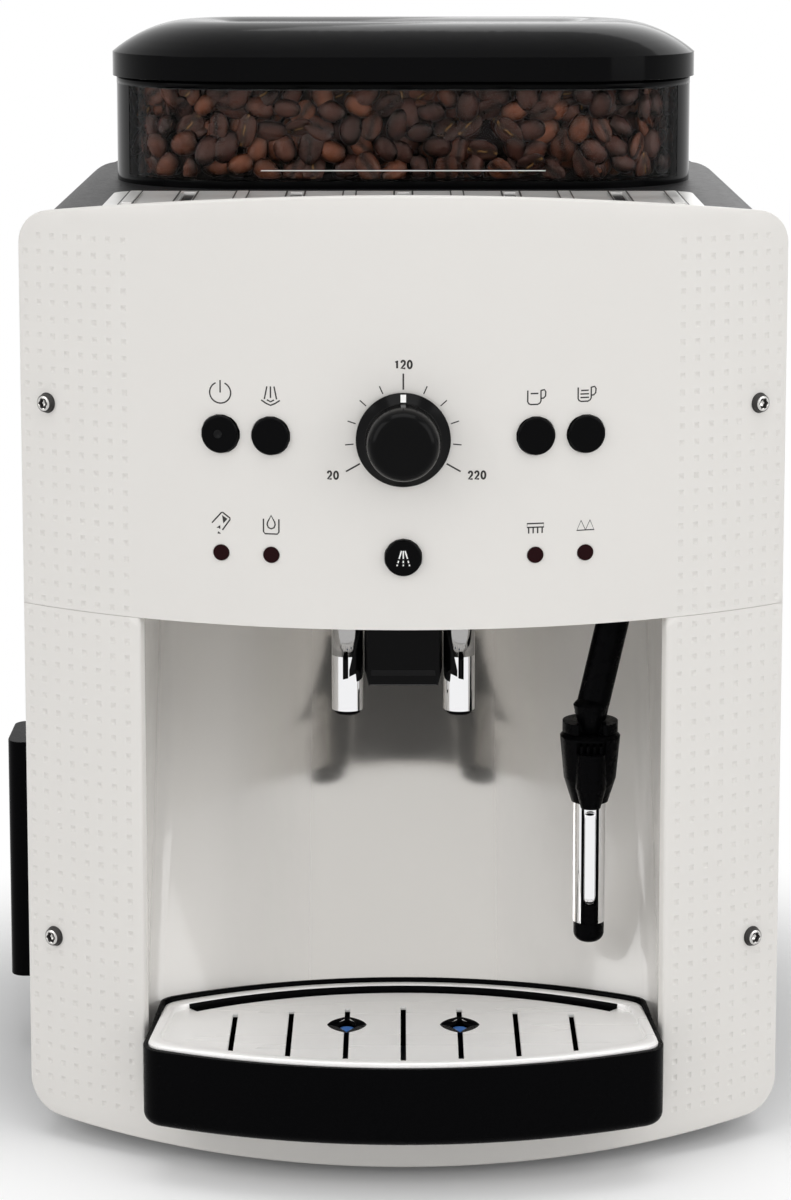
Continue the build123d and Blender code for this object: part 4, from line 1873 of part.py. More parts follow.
# Tank lid: plate with a skirt on three sides, hinge blocks and pins
lid_half = WELL_HALF - TANK_LID_GAP
lid_front, lid_back = WELL_FRONT + TANK_LID_GAP, WELL_BACK - 2 * TANK_LID_GAP + SEAM
with BuildPart() as tank_lid:
    with BuildSketch(Plane.XY.offset(REAR_TOP - LID_PLATE)) as lid_plan:
        span(-lid_half, lid_half, lid_front, lid_back)
        fillet(lid_plan.vertices().group_by(Axis.Y)[0], WELL_CORNER - TANK_LID_GAP)
        fillet(lid_plan.vertices().group_by(Axis.Y)[-1], LID_HEEL_CORNER)
    extrude(amount=LID_PLATE)
    fillet(tank_lid.faces().sort_by(Axis.Z)[-1].edges(), LID_ROUND)
    with BuildSketch(Plane.XY.offset(TANK_TOP + SEAM)) as skirt:
        with Locations((0, tank_y)):
            RectangleRounded(tank_width, tank_depth, WELL_CORNER)
            RectangleRounded(
                tank_width - 2 * LID_SKIRT_WALL,
                tank_depth - 2 * LID_SKIRT_WALL,
                WELL_CORNER - LID_SKIRT_WALL,
                mode=Mode.SUBTRACT,
            )
        span(-lid_half, lid_half, lid_front, LID_SKIRT_BACK, mode=Mode.INTERSECT)
    extrude(amount=REAR_TOP - LID_PLATE - TANK_TOP - SEAM)
    ear_room = HINGE_EAR_WALL / 2 + SLIDE_GAP
    for x in (-HINGE_X, HINGE_X):
        with BuildSketch(Plane.XY.offset(hinge_z - HINGE_EAR)):
            span(
                x - ear_room - HINGE_EAR_WALL,
                x + ear_room + HINGE_EAR_WALL,
                hinge_y - HINGE_EAR,
                hinge_y + HINGE_INSET,
            )
        extrude(amount=REAR_TOP - LID_PLATE - hinge_z + HINGE_EAR)
        with BuildSketch(Plane.XY.offset(hinge_z - HINGE_EAR)):
            span(x - ear_room, x + ear_room, hinge_y - HINGE_EAR - 2 * SLIDE_GAP, WELL_BACK)
        extrude(amount=2 * HINGE_EAR + HINGE_DROP, mode=Mode.SUBTRACT)
        with BuildSketch(Plane.YZ.offset(x - ear_room)):
            with Locations((hinge_y, hinge_z)):
                Circle(HINGE_PIN)
        extrude(amount=2 * ear_room)
write(tank_lid, "tank_lid")
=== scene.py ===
import bpy
import random
from math import asin, atan2, cos, hypot, pi, radians, sin, sqrt
from mathutils import Euler, Matrix, Vector
from mathutils.geometry import delaunay_2d_cdt


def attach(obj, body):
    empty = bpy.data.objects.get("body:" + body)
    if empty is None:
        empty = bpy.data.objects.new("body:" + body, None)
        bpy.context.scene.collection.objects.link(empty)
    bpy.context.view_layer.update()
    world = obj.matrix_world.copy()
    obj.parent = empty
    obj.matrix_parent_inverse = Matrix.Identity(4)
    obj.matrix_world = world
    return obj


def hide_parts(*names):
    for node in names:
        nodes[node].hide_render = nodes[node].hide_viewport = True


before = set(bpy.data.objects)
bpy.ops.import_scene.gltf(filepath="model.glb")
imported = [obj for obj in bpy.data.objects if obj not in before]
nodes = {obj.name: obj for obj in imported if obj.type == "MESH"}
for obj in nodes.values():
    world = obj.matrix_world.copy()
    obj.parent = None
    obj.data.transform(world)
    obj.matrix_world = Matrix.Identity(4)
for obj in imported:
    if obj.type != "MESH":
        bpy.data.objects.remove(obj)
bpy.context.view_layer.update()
scene = bpy.context.scene
MM = 0.001

# Sizes repeated from the CAD, in millimetres
HALF_WIDTH = 122.5
PANEL_RADIUS = 205.0
PANEL_WALL = 3.0
PANEL_FRONT = -150.0
ARC_Y = PANEL_FRONT + PANEL_RADIUS
PANEL_LOW = 4.0
PANEL_TOP = 313.0
LOW_BOW = 5.2
TOP_BOW = 9.1
PANEL_CORNER = 11.0
SEAM_Z = 178.0
SEAM_SHOWN = 0.06
SEAM_NEAR = 0.3
NICHE_HALF = 83.0
BAND_TOP = 19.2
KNOB_Z = 238.0
BUTTON_Z = 238.4
RINSE_Z = 201.0
LENS_Z = 201.0
OUTER_X = 56.6
INNER_X = 40.9


# Materials

def node_tree(name):
    """New material with its node tree and its shader."""
    made = bpy.data.materials.new(name)
    made.use_nodes = True
    tree = made.node_tree
    return made, tree, tree.nodes["Principled BSDF"]


def fill(tree, node, inputs):
    """Sets inputs of a node to plain values, or links them to the outputs of other nodes."""
    for key, value in inputs.items():
        if isinstance(value, bpy.types.NodeSocket):
            tree.links.new(value, node.inputs[key])
        else:
            node.inputs[key].default_value = value


def new_node(tree, kind, inputs, **settings):
    """New node of a kind with its settings and its inputs."""
    made = tree.nodes.new(kind)
    for key, value in settings.items():
        setattr(made, key, value)
    fill(tree, made, inputs)
    return made


def texture(tree, kind, scale, stretch=(1, 1, 1), **settings):
    """Value of a procedural texture in object coordinates, in metres."""
    place = new_node(tree, "ShaderNodeTexCoord", {})
    mapping = new_node(tree, "ShaderNodeMapping", {"Scale": stretch, "Vector": place.outputs["Object"]})
    inputs = {"Scale": scale, "Vector": mapping.outputs["Vector"], **settings}
    return new_node(tree, kind, inputs).outputs[0]


def remapped(tree, value, low, high, to_low=0.0, to_high=1.0, soft=False):
    """Value that goes from to_low to to_high while the given one goes from low to high."""
    inputs = {"Value": value, "From Min": low, "From Max": high, "To Min": to_low, "To Max": to_high}
    curve = "SMOOTHSTEP" if soft else "LINEAR"
    return new_node(tree, "ShaderNodeMapRange", inputs, interpolation_type=curve).outputs["Result"]


def blended(tree, factor, first, second):
    """Colour between two others."""
    inputs = {"Factor": factor, "A": first, "B": second}
    return new_node(tree, "ShaderNodeMix", inputs, data_type="RGBA").outputs["Result"]


def maths(tree, operation, *values):
    """Result of one operation on values and outputs."""
    return new_node(tree, "ShaderNodeMath", dict(enumerate(values)), operation=operation).outputs[0]


def object_axis(tree, axis):
    """Place along one axis, in metres."""
    place = new_node(tree, "ShaderNodeTexCoord", {})
    return new_node(tree, "ShaderNodeSeparateXYZ", {0: place.outputs["Object"]}).outputs[axis]


# Range that noise mostly keeps to, and the least roughness
NOISE_LOW = 0.3
NOISE_HIGH = 0.7
LEAST_ROUGH = 0.01


def surface(name, color, rough, metal=0.0, tone=0.06, tone_scale=18, rough_spread=0.05,
            rough_scale=60, grain=900, grain_depth=0.02, stretch=(1, 1, 1), coat=0.0,
            coat_rough=0.05, specular=0.5, transmission=0.0, ior=1.45, cells=False, edge=0.0):
    """Moulded or metal surface: cloudy tone, uneven gloss and a fine relief."""
    made, tree, shader = node_tree(name)
    cloud = texture(tree, "ShaderNodeTexNoise", tone_scale, stretch, Detail=4.0)
    darker = (*[c * (1 - tone) for c in color], 1)
    lighter = (*[min(1, c * (1 + tone)) for c in color], 1)
    gloss = texture(tree, "ShaderNodeTexNoise", rough_scale, stretch, Detail=3.0)
    least, most = max(LEAST_ROUGH, rough - rough_spread), rough + rough_spread
    if cells:
        height = texture(tree, "ShaderNodeTexVoronoi", grain, stretch)
    else:
        height = texture(tree, "ShaderNodeTexNoise", grain, stretch, Detail=2.0)
    bump = new_node(tree, "ShaderNodeBump", {"Distance": grain_depth * MM, "Height": height})
    if edge:
        soft_edge = new_node(tree, "ShaderNodeBevel", {"Radius": edge * MM})
        fill(tree, bump, {"Normal": soft_edge.outputs["Normal"]})
    fill(tree, shader, {
        "Base Color": blended(tree, cloud, darker, lighter),
        "Roughness": remapped(tree, gloss, NOISE_LOW, NOISE_HIGH, least, most),
        "Normal": bump.outputs["Normal"], "Metallic": metal, "IOR": ior,
        "Specular IOR Level": specular, "Coat Weight": coat, "Coat Roughness": coat_rough,
        "Transmission Weight": transmission,
    })
    return made


def base_of(made):
    """Tree and shader of a surface, and the output that gives its base colour."""
    tree = made.node_tree
    shader = tree.nodes["Principled BSDF"]
    return tree, shader, shader.inputs["Base Color"].links[0].from_socket


WHITE = (0.775, 0.755, 0.725)
white = surface("white_casing", WHITE, 0.34, tone=0.012, rough_spread=0.03, grain=2600,
                grain_depth=0.004, specular=0.35)
niche_grey = surface("niche_grey", (0.63, 0.61, 0.58), 0.10, tone=0.02, rough_spread=0.02,
                     grain=14, grain_depth=0.05, coat=0.2, coat_rough=0.04)
black = surface("black_plastic", (0.007, 0.007, 0.0075), 0.46, tone=0.15, grain=1500,
                grain_depth=0.06, cells=True, rough_spread=0.02, rough_scale=500,
                specular=0.10, edge=0.4)
deck_black = surface("deck_black", (0.009, 0.009, 0.0095), 0.42, tone=0.15, grain=1300,
                     grain_depth=0.09, cells=True, rough_spread=0.03, rough_scale=500,
                     specular=0.16, edge=0.4)
gloss_black = surface("gloss_black", (0.0016, 0.0016, 0.0019), 0.10, tone=0.1, grain=500,
                      grain_depth=0.002, rough_spread=0.02, specular=0.055, edge=0.35)
tray_black = surface("tray_black", (0.0012, 0.0012, 0.0015), 0.28, tone=0.1, grain=1700,
                     grain_depth=0.01, rough_spread=0.02, rough_scale=400, specular=0.03, edge=0.5)
knob_black = surface("knob_black", (0.0018, 0.0018, 0.002), 0.17, tone=0.1, grain=1400,
                     grain_depth=0.003, rough_spread=0.04, specular=0.09, edge=0.3)
steel = surface("brushed_steel", (0.80, 0.79, 0.77), 0.34, metal=0.6, tone=0.05, tone_scale=90,
                rough_spread=0.06, grain=420, grain_depth=0.004, stretch=(0.05, 1, 1), edge=0.5)
bright_steel = surface("bright_steel", (0.96, 0.95, 0.935), 0.30, metal=0.12, tone=0.03,
                       tone_scale=70, grain=300, grain_depth=0.003, stretch=(0.08, 1, 1), edge=0.6)
spout_black = surface("spout_black", (0.0016, 0.0016, 0.0018), 0.2, tone=0.1,
                      grain_depth=0.004, specular=0.09, edge=0.6)
# Lighter black: painted reflection on the spout's lower face, and the plain colour of the power light's ring
chin_sheen_and_ring_black = surface("chin_sheen_and_ring_black", (0.0075, 0.0075, 0.0078), 0.35, tone=0.1,
                     grain_depth=0.004, specular=0.1)
# Darker chrome: painted shade and reflection on the upper part of the nozzles
shaded_chrome = surface("shaded_chrome", (0.40, 0.395, 0.39), 0.08, metal=1.0, tone=0.03, grain=60,
                        grain_depth=0.004, rough_spread=0.015)
chrome = surface("chrome", (0.88, 0.88, 0.89), 0.045, metal=1.0, tone=0.02, grain=60,
                 grain_depth=0.004, rough_spread=0.015)
screw_steel = surface("screw_steel", (0.58, 0.57, 0.55), 0.24, metal=1.0, tone=0.08, grain=1800,
                      grain_depth=0.006, edge=0.2)
machined = surface("machined_steel", (0.48, 0.48, 0.48), 0.3, metal=1.0, tone=0.06,
                   grain_depth=0.01, stretch=(1, 1, 0.05))
rubber = surface("rubber", (0.02, 0.02, 0.02), 0.75, tone=0.2, grain_depth=0.03)
clear = surface("clear_plastic", (0.97, 0.97, 0.98), 0.02, tone=0.01, rough_spread=0.01,
                grain=25, grain_depth=0.01, transmission=1.0, ior=1.12, specular=0.1)
smoke = surface("smoke_plastic", (0.42, 0.44, 0.46), 0.06, tone=0.04, rough_spread=0.02,
                grain=40, grain_depth=0.01, transmission=0.85, ior=1.3)
cast = surface("cast_aluminium", (0.5, 0.5, 0.5), 0.5, metal=1.0, tone=0.1, grain=500,
               grain_depth=0.05)
motor_can = surface("motor_can", (0.4, 0.4, 0.41), 0.35, metal=1.0, tone=0.08, grain=700,
                    grain_depth=0.01)
gear_plastic = surface("gear_plastic", (0.75, 0.72, 0.64), 0.45, tone=0.04)
circuit = surface("circuit_board", (0.02, 0.11, 0.04), 0.35, tone=0.3, tone_scale=220,
                  grain=420, grain_depth=0.03, cells=True)
red_lens = surface("red_lens", (0.014, 0.0008, 0.0018), 0.1, tone=0.2, specular=0.1)
# Grey used only for the painted highlight along the foot of the spout
chin_edge_highlight_grey = surface("chin_edge_highlight_grey", (0.035, 0.034, 0.034), 0.2, tone=0.1)
white_mark_and_highlight = surface("pointer_white", (0.85, 0.85, 0.84), 0.4, tone=0.02)
float_blue = surface("float_blue", (0.04, 0.17, 0.52), 0.35, tone=0.08)
# Black for print, also used for painted shade beside the plate's ribs and round the screws
print_ink_and_shade = surface("print_and_painted_shade", (0.016, 0.014, 0.013), 0.45, tone=0.15, grain=2500)
# Painted shade for the beans deep in the hopper
bean_dark = surface("bean_shade", (0.006, 0.003, 0.0025), 0.8, tone=0.3, grain=300,
                    grain_depth=0.6, cells=True, specular=0.1)

# Distances from the middle plane over which the niche loses its mirror and turns paler, painted light
# towards the sides
MIRROR_SPAN = (26, 62)
PAINTED_LIGHT_SPAN = (30, 70)
MIRROR = 0.78
NICHE_PAINTED_LIGHT = (0.86, 0.84, 0.81, 1)
# Height above which the float keeps its blue, and the painted shade below it
FLOAT_BLUE_FROM = 42.0
FLOAT_PAINTED_SHADE = (0.004, 0.006, 0.012, 1)


def across_factor(tree, span, start, end):
    """Value that goes from start to end between two distances from the middle plane."""
    away = maths(tree, "ABSOLUTE", object_axis(tree, "X"))
    return remapped(tree, away, span[0] * MM, span[1] * MM, start, end, soft=True)


def mirror_middle(made):
    """Mirror-like towards the middle plane, plain towards the sides, with painted light that makes the
    colour paler there.
    """
    tree, shader, color = base_of(made)
    # Painted light: the base colour turns paler towards the sides
    pale = across_factor(tree, PAINTED_LIGHT_SPAN, 0.0, 1.0)
    fill(tree, shader, {"Metallic": across_factor(tree, MIRROR_SPAN, MIRROR, 0.0),
                        "Base Color": blended(tree, pale, color, NICHE_PAINTED_LIGHT)})


def blue_above(made, level):
    """Leaves the colour of the float only above a height, with painted shade darkening it below."""
    tree, shader, color = base_of(made)
    above = maths(tree, "GREATER_THAN", object_axis(tree, "Z"), level * MM)
    fill(tree, shader, {"Base Color": blended(tree, above, FLOAT_PAINTED_SHADE, color)})


mirror_middle(niche_grey)
blue_above(float_blue, FLOAT_BLUE_FROM)

FINISH = (
    (black, "base_pan side_panel_left side_panel_right bulkhead rear_housing power_inlet"
            " grind_adjust_knob grinder_housing brew_group spout_guide steam_bracket"
            " grounds_drawer tank_valve coffee_beans"),
    (white, "control_fascia front_surround"),
    (niche_grey, "niche_liner"),
    (deck_black, "top_cover"),
    (steel, "cup_plate"),
    (gloss_black, "hopper_shell hopper_lid power_button steam_button one_cup_button"
                  " two_cup_button rinse_button tank_lid"),
    (tray_black, "nozzle_tips steam_arm steam_collar steam_tip drip_tray drawer_handle"),
    (spout_black, "spout_carriage"),
    (knob_black, "volume_knob"),
    (white_mark_and_highlight, "knob_pointer"),
    (red_lens, "indicator_lenses"),
    (chrome, "spout_nozzles steam_tube"),
    (bright_steel, "drip_grid"),
    (float_blue, "tray_float"),
    (screw_steel, "fascia_screws"),
    (clear, "hopper_window"),
    (smoke, "water_tank"),
    (rubber, "rubber_feet hopper_lid_seal pump_mounts"),
    (gear_plastic, "motor_pinion burr_gear brew_piston"),
    (machined, "lower_burr upper_burr brew_spindle"),
    (motor_can, "grinder_motor brew_motor pump"),
    (cast, "thermoblock"),
    (circuit, "main_board control_board"),
)
for finish, names in FINISH:
    for name in names.split():
        nodes[name].data.materials.clear()
        nodes[name].data.materials.append(finish)


# Mesh helpers. Every piece is given in millimetres.

def piece(name, verts, faces, material, body, smooth=True, sharp=()):
    """Mesh object from points in millimetres, riding on a body."""
    mesh = bpy.data.meshes.new(name)
    mesh.from_pydata([tuple(c * MM for c in v) for v in verts], [], faces)
    mesh.validate()
    mesh.polygons.foreach_set("use_smooth", [smooth] * len(mesh.polygons))
    if sharp:
        keys = {tuple(sorted(edge)) for edge in sharp}
        for edge in mesh.edges:
            if tuple(sorted(edge.vertices)) in keys:
                edge.use_edge_sharp = True
    mesh.materials.append(material)
    made = bpy.data.objects.new(name, mesh)
    scene.collection.objects.link(made)
    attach(made, body)
    return made


def bent(x, z, depth=0.0):
    """Point of the bowed front at the width x and height z, depth below its surface."""
    turn = asin(x / PANEL_RADIUS)
    radius = PANEL_RADIUS - depth
    return (radius * sin(turn), ARC_Y - radius * cos(turn), z)


def inside(polygon, x, z):
    """True when the point lies inside the closed polygon."""
    odd = False
    j = len(polygon) - 1
    for i, (xi, zi) in enumerate(polygon):
        xj, zj = polygon[j]
        if (zi > z) != (zj > z) and x < (xj - xi) * (z - zi) / (zj - zi) + xi:
            odd = not odd
        j = i
    return odd


def mirrored(points):
    """The points on the other side of the middle plane, in the opposite order."""
    return [(-x, y) for x, y in reversed(points)]


def looped(start, count):
    """Edges of a closed loop of points that follow each other."""
    return [(start + i, start + (i + 1) % count) for i in range(count)]


def quads(start, rows, count, closed=True):
    """Faces between rows of points, row after row from the index start."""
    faces = []
    for row in range(rows - 1):
        a, b = start + row * count, start + (row + 1) * count
        for i in range(count if closed else count - 1):
            j = (i + 1) % count
            faces.append((a + i, a + j, b + j, b + i))
    return faces


def tube_faces(start, rows, count):
    """Faces between closed rows of points, with both ends filled."""
    last = start + (rows - 1) * count
    ends = [tuple(range(start + count - 1, start - 1, -1)), tuple(range(last, last + count))]
    return quads(start, rows, count) + ends


def flat_strip(left, right, first, second):
    """Corners of a flat strip from left to right, between two (y, z) edges."""
    return [(left, *first), (right, *first), (right, *second), (left, *second)]


def curve_point(start, pull, end, t):
    """Point at the share t of a curve from start to end that is drawn towards pull."""
    return tuple((1 - t)**2 * start[k] + 2 * t * (1 - t) * pull[k] + t**2 * end[k] for k in (0, 1))


def arc(centre, radius, start, end, count):
    """Points along an arc, angles in radians, with both ends."""
    turns = [start + (end - start) * i / count for i in range(count + 1)]
    return [(centre[0] + radius * cos(turn), centre[1] + radius * sin(turn)) for turn in turns]


# Outlines of the two front panels

CORNER_STEPS = 8
BOW_STEPS = 76
SIDE_STEPS = 50
SHOULDER_STEPS = 10
BAND_STEPS = 56
SIDE_PITCH = 3


def bowed_edge(inset, up):
    """Right corner, bowed edge and left corner of the panels, from right to left."""
    half, corner = HALF_WIDTH - inset, PANEL_CORNER - inset
    bow = TOP_BOW if up > 0 else LOW_BOW
    radius = (HALF_WIDTH**2 + bow**2) / (2 * bow)
    edge = PANEL_TOP if up > 0 else PANEL_LOW
    centre_z = edge - radius * up
    radius -= inset
    reach = sqrt((radius - corner) ** 2 - (half - corner) ** 2)
    lean = atan2(reach, half - corner)
    right = arc((half - corner, centre_z + reach * up), corner, 0, lean * up, CORNER_STEPS)
    bowed = arc((0, centre_z), radius, lean * up, (pi - lean) * up, BOW_STEPS)
    return right + bowed[1:-1] + mirrored(right)


def fascia_outline(inset):
    """Outline of the upper front panel, anticlockwise in the front view."""
    half, low = HALF_WIDTH - inset, SEAM_Z + SEAM_SHOWN * (0.5 + inset)
    top = bowed_edge(inset, 1)
    count = round((top[0][1] - SEAM_Z) / SIDE_PITCH)
    right = [(half, low + (top[0][1] - low) * i / count) for i in range(count)]
    bottom = [(-half + 2 * half * i / BOW_STEPS, low) for i in range(BOW_STEPS)]
    return bottom + right + top + mirrored(right)[:-1]


def surround_outline(inset):
    """Outline of the lower front panel round the niche, anticlockwise in the front view."""
    half, high = HALF_WIDTH - inset, SEAM_Z - SEAM_SHOWN * (0.5 + inset)
    mouth, band = NICHE_HALF + inset, BAND_TOP - inset
    low = bowed_edge(inset, -1)[::-1]
    side_low = low[-1][1]
    right = [(half, side_low + (high - side_low) * i / SIDE_STEPS) for i in range(1, SIDE_STEPS)]
    down = [(half + (mouth - half) * i / SHOULDER_STEPS, high) for i in range(SHOULDER_STEPS)]
    down += [(mouth, high + (band - high) * i / SIDE_STEPS) for i in range(SIDE_STEPS)]
    across = [(mouth - 2 * mouth * i / BAND_STEPS, band) for i in range(BAND_STEPS + 1)]
    return low + right + down + across + mirrored(down) + mirrored(right)


# Front panels: bent sheets with holes and small square dents

DOT_PITCH = 5.37
DOT_ROWS = 54
DOT_LOW = 15.9
DOT_HIGH = 297.3
DOT_OUTER = 119.6
DOT_COLUMNS = 8
DOT_HALF = 0.95
DOT_DEPTH = 0.85
DOT_ROOM = 1.6
SCREW_X = 113.0
SCREW_ZS = (69.0, 244.0)
SCREW_CLEAR = 5.6
SQUARE = ((-1, -1), (1, -1), (1, 1), (-1, 1))
EDGE_ROUND = 0.9
EDGE_STEPS = 3
HOLE_STEPS = 32
HOLE_KEPT = 0.98

# Pitch of the loose points that carry the bow, and how far they stay away from other things
LOOSE_X = 3.5
LOOSE_Z = 7.0
EDGE_CLEAR = 1.2
HOLE_CLEAR = 1.5
DENT_CLEAR = 3


def dot_spots():
    """Centres of the small square dents at both sides of the front."""
    outer = PANEL_RADIUS * asin(DOT_OUTER / PANEL_RADIUS)
    spots = []
    for side in (-1, 1):
        for column in range(DOT_COLUMNS):
            for row in range(DOT_ROWS):
                z = DOT_LOW + (DOT_HIGH - DOT_LOW) * row / (DOT_ROWS - 1)
                x = PANEL_RADIUS * sin((outer - column * DOT_PITCH) / PANEL_RADIUS)
                if column == 0 and row in (0, DOT_ROWS - 1):
                    continue
                if any(hypot(x - SCREW_X, z - screw) < SCREW_CLEAR for screw in SCREW_ZS):
                    continue
                spots.append((side * x, z))
    return spots


def dent_points(x, z):
    """Four corners and the middle of one dent."""
    across = PANEL_RADIUS * asin(x / PANEL_RADIUS)
    corners = [(PANEL_RADIUS * sin((across + a * DOT_HALF) / PANEL_RADIUS), z + b * DOT_HALF)
               for a, b in SQUARE]
    return corners + [(x, z)]


def loose_points(border, spots, holes):
    """Points over the sheet that stay clear of its edge, its holes and its dents."""
    low, high = min(z for _, z in border), max(z for _, z in border)
    dents = {(round(x), round(z)) for x, z in spots}
    near = range(-DENT_CLEAR, DENT_CLEAR + 1)
    sides = ((-EDGE_CLEAR, 0), (EDGE_CLEAR, 0), (0, -EDGE_CLEAR), (0, EDGE_CLEAR))
    points = []
    x = -HALF_WIDTH
    while x < HALF_WIDTH:
        z = low
        while z < high:
            by_dent = any((round(x) + i, round(z) + j) in dents for i in near for j in near)
            in_sheet = all(inside(border, x + a, z + b) for a, b in sides)
            off_holes = all(hypot(x - hx, z - hz) > hr + HOLE_CLEAR for hx, hz, hr in holes)
            if in_sheet and off_holes and not by_dent:
                points.append((x, z))
            z += LOOSE_Z
        x += LOOSE_X
    return points


def filled(points, edges):
    """Triangles that keep the edges: their points, faces and the new index of each given point."""
    got = delaunay_2d_cdt([Vector(p) for p in points], edges, [], 0, 1e-6, True)
    index = {source: i for i, sources in enumerate(got[3]) for source in sources}
    return got[0], got[2], index


def kept_faces(points, faces, border, holes):
    """The faces that lie inside the border and outside the holes."""
    kept = []
    for face in faces:
        x = sum(points[i].x for i in face) / len(face)
        z = sum(points[i].y for i in face) / len(face)
        in_hole = any(hypot(x - hx, z - hz) < hr * HOLE_KEPT for hx, hz, hr in holes)
        if inside(border, x, z) and not in_hole:
            kept.append(tuple(face))
    return kept


def front_panel(name, outline, node, holes=()):
    """Bent sheet with soft edges, round holes and the field of dents."""
    rings = []
    for step in range(EDGE_STEPS + 1):
        turn = pi / 2 * step / EDGE_STEPS
        ring = outline(EDGE_ROUND * (1 - sin(turn)))
        rings.append([(x, z, EDGE_ROUND * (1 - cos(turn))) for x, z in ring])
    rings.append([(x, z, PANEL_WALL) for x, z in outline(0)])
    border, back_border = [[(x, z) for x, z, _ in ring] for ring in (rings[0], rings[-1])]
    count = len(border)
    hole_points = [p for x, z, r in holes for p in arc((x, z), r, 0, 2 * pi, HOLE_STEPS)[:-1]]
    hole_edges = []
    for start in range(count, count + len(hole_points), HOLE_STEPS):
        hole_edges += looped(start, HOLE_STEPS)
    flat, edges, dents = border + hole_points, looped(0, count) + hole_edges, []
    spots = [(x, z) for x, z in dot_spots() if inside(border, x, z)
             and all(inside(border, x + a * DOT_ROOM, z + b * DOT_ROOM) for a, b in SQUARE)]
    for x, z in spots:
        start = len(flat)
        flat += dent_points(x, z)
        edges += looped(start, 4) + [(start + i, start + 4) for i in range(4)]
        dents.append(start)
    flat += loose_points(border, spots, holes)
    points, triangles, index = filled(flat, edges)
    deep = {index[start + 4] for start in dents}
    verts = [bent(p.x, p.y, DOT_DEPTH if i in deep else 0.0) for i, p in enumerate(points)]
    faces = kept_faces(points, triangles, border, holes)
    sharp = [(index[i], index[j]) for start in dents for i, j in looped(start, 4)]
    on_seam = [abs(z - SEAM_Z) < SEAM_NEAR for _, z in border]
    sharp += [(index[i], index[j]) for i, j in looped(0, count) if on_seam[i] and on_seam[j]]
    before = [index[i] for i in range(count)]
    for ring in rings[1:]:
        now = list(range(len(verts), len(verts) + count))
        verts += [bent(x, z, depth) for x, z, depth in ring]
        faces += [(before[i], now[i], now[j], before[j]) for i, j in looped(0, count)]
        before = now
    sharp += [(before[i], before[j]) for i, j in looped(0, count)]
    back, triangles, back_index = filled(back_border + hole_points, looped(0, count) + hole_edges)
    rear = {back_index[i]: before[i] for i in range(count)}
    for i, p in enumerate(back):
        if i not in rear:
            rear[i] = len(verts)
            verts.append(bent(p.x, p.y, PANEL_WALL))
    for face in kept_faces(back, triangles, back_border, holes):
        faces.append(tuple(rear[i] for i in reversed(face)))
    for i, j in hole_edges:
        front_edge = (index[i], index[j])
        rear_edge = (rear[back_index[j]], rear[back_index[i]])
        faces.append(front_edge + rear_edge)
        sharp += [front_edge, rear_edge]
    made = piece(name, verts, faces, white, "housing", sharp=sharp)
    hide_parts(node)


BUTTON_HOLE = 6.15
LENS_HOLE = 2.6
RINSE_HOLE = 5.95
KNOB_HOLE = 3.3
COLUMNS = (-OUTER_X, -INNER_X, INNER_X, OUTER_X)
fascia_holes = [(x, z, r) for z, r in ((BUTTON_Z, BUTTON_HOLE), (LENS_Z, LENS_HOLE)) for x in COLUMNS]
fascia_holes += [(0, RINSE_Z, RINSE_HOLE), (0, KNOB_Z, KNOB_HOLE)]
front_panel("front_upper", fascia_outline, "control_fascia", fascia_holes)
front_panel("front_lower", surround_outline, "front_surround")


# Print on the front: thin strokes laid on the panel

INK_LIFT = 0.03
FILL_PITCH = 0.24
DIGIT_WIDE = 0.62
DIGIT_STEP = 0.84


def printed(name, strokes, width=0.5, body="housing", material=print_ink_and_shade, lift=INK_LIFT):
    """Flat strokes on the bowed front, each a list of (x, z) points."""
    verts, faces = [], []
    for stroke in strokes:
        closed = stroke[0] == stroke[-1] and len(stroke) > 2
        points = stroke[:-1] if closed else stroke
        start, total = len(verts), len(points)
        for i, (x, z) in enumerate(points):
            before = points[i - 1] if i or closed else points[i]
            after = points[(i + 1) % total] if i < total - 1 or closed else points[i]
            dx, dz = after[0] - before[0], after[1] - before[1]
            size = hypot(dx, dz) or 1
            nx, nz = -dz / size * width / 2, dx / size * width / 2
            verts += [bent(x + nx, z + nz, -lift), bent(x - nx, z - nz, -lift)]
        for i in range(total if closed else total - 1):
            a, b = start + 2 * i, start + 2 * ((i + 1) % total)
            faces.append((a, b, b + 1, a + 1))
    return piece(name, verts, faces, material, body, smooth=False)


def moved(strokes, x, z, scale_x=1.0, scale_z=1.0):
    """The strokes at another place and size."""
    return [[(x + px * scale_x, z + pz * scale_z) for px, pz in stroke] for stroke in strokes]


DIGITS = {
    "0": [[(0.5 + 0.42 * sin(t % 16 * pi / 8), 0.5 + 0.5 * cos(t % 16 * pi / 8)) for t in range(17)]],
    "1": [[(0.2, 0.78), (0.55, 1.0), (0.55, 0.0)]],
    "2": [[(0.1, 0.72), (0.16, 0.9), (0.34, 1.0), (0.6, 1.0), (0.8, 0.88), (0.84, 0.7), (0.76, 0.52),
           (0.1, 0.0), (0.92, 0.0)]],
}


def number(text, x, z, height=2.35):
    """Plain digits centred on (x, z)."""
    width, advance = height * DIGIT_WIDE, height * DIGIT_STEP
    left = x - (advance * (len(text) - 1) + width) / 2
    strokes = []
    for i, digit in enumerate(text):
        strokes += moved(DIGITS[digit], left + i * advance, z - height / 2, width, height)
    return strokes


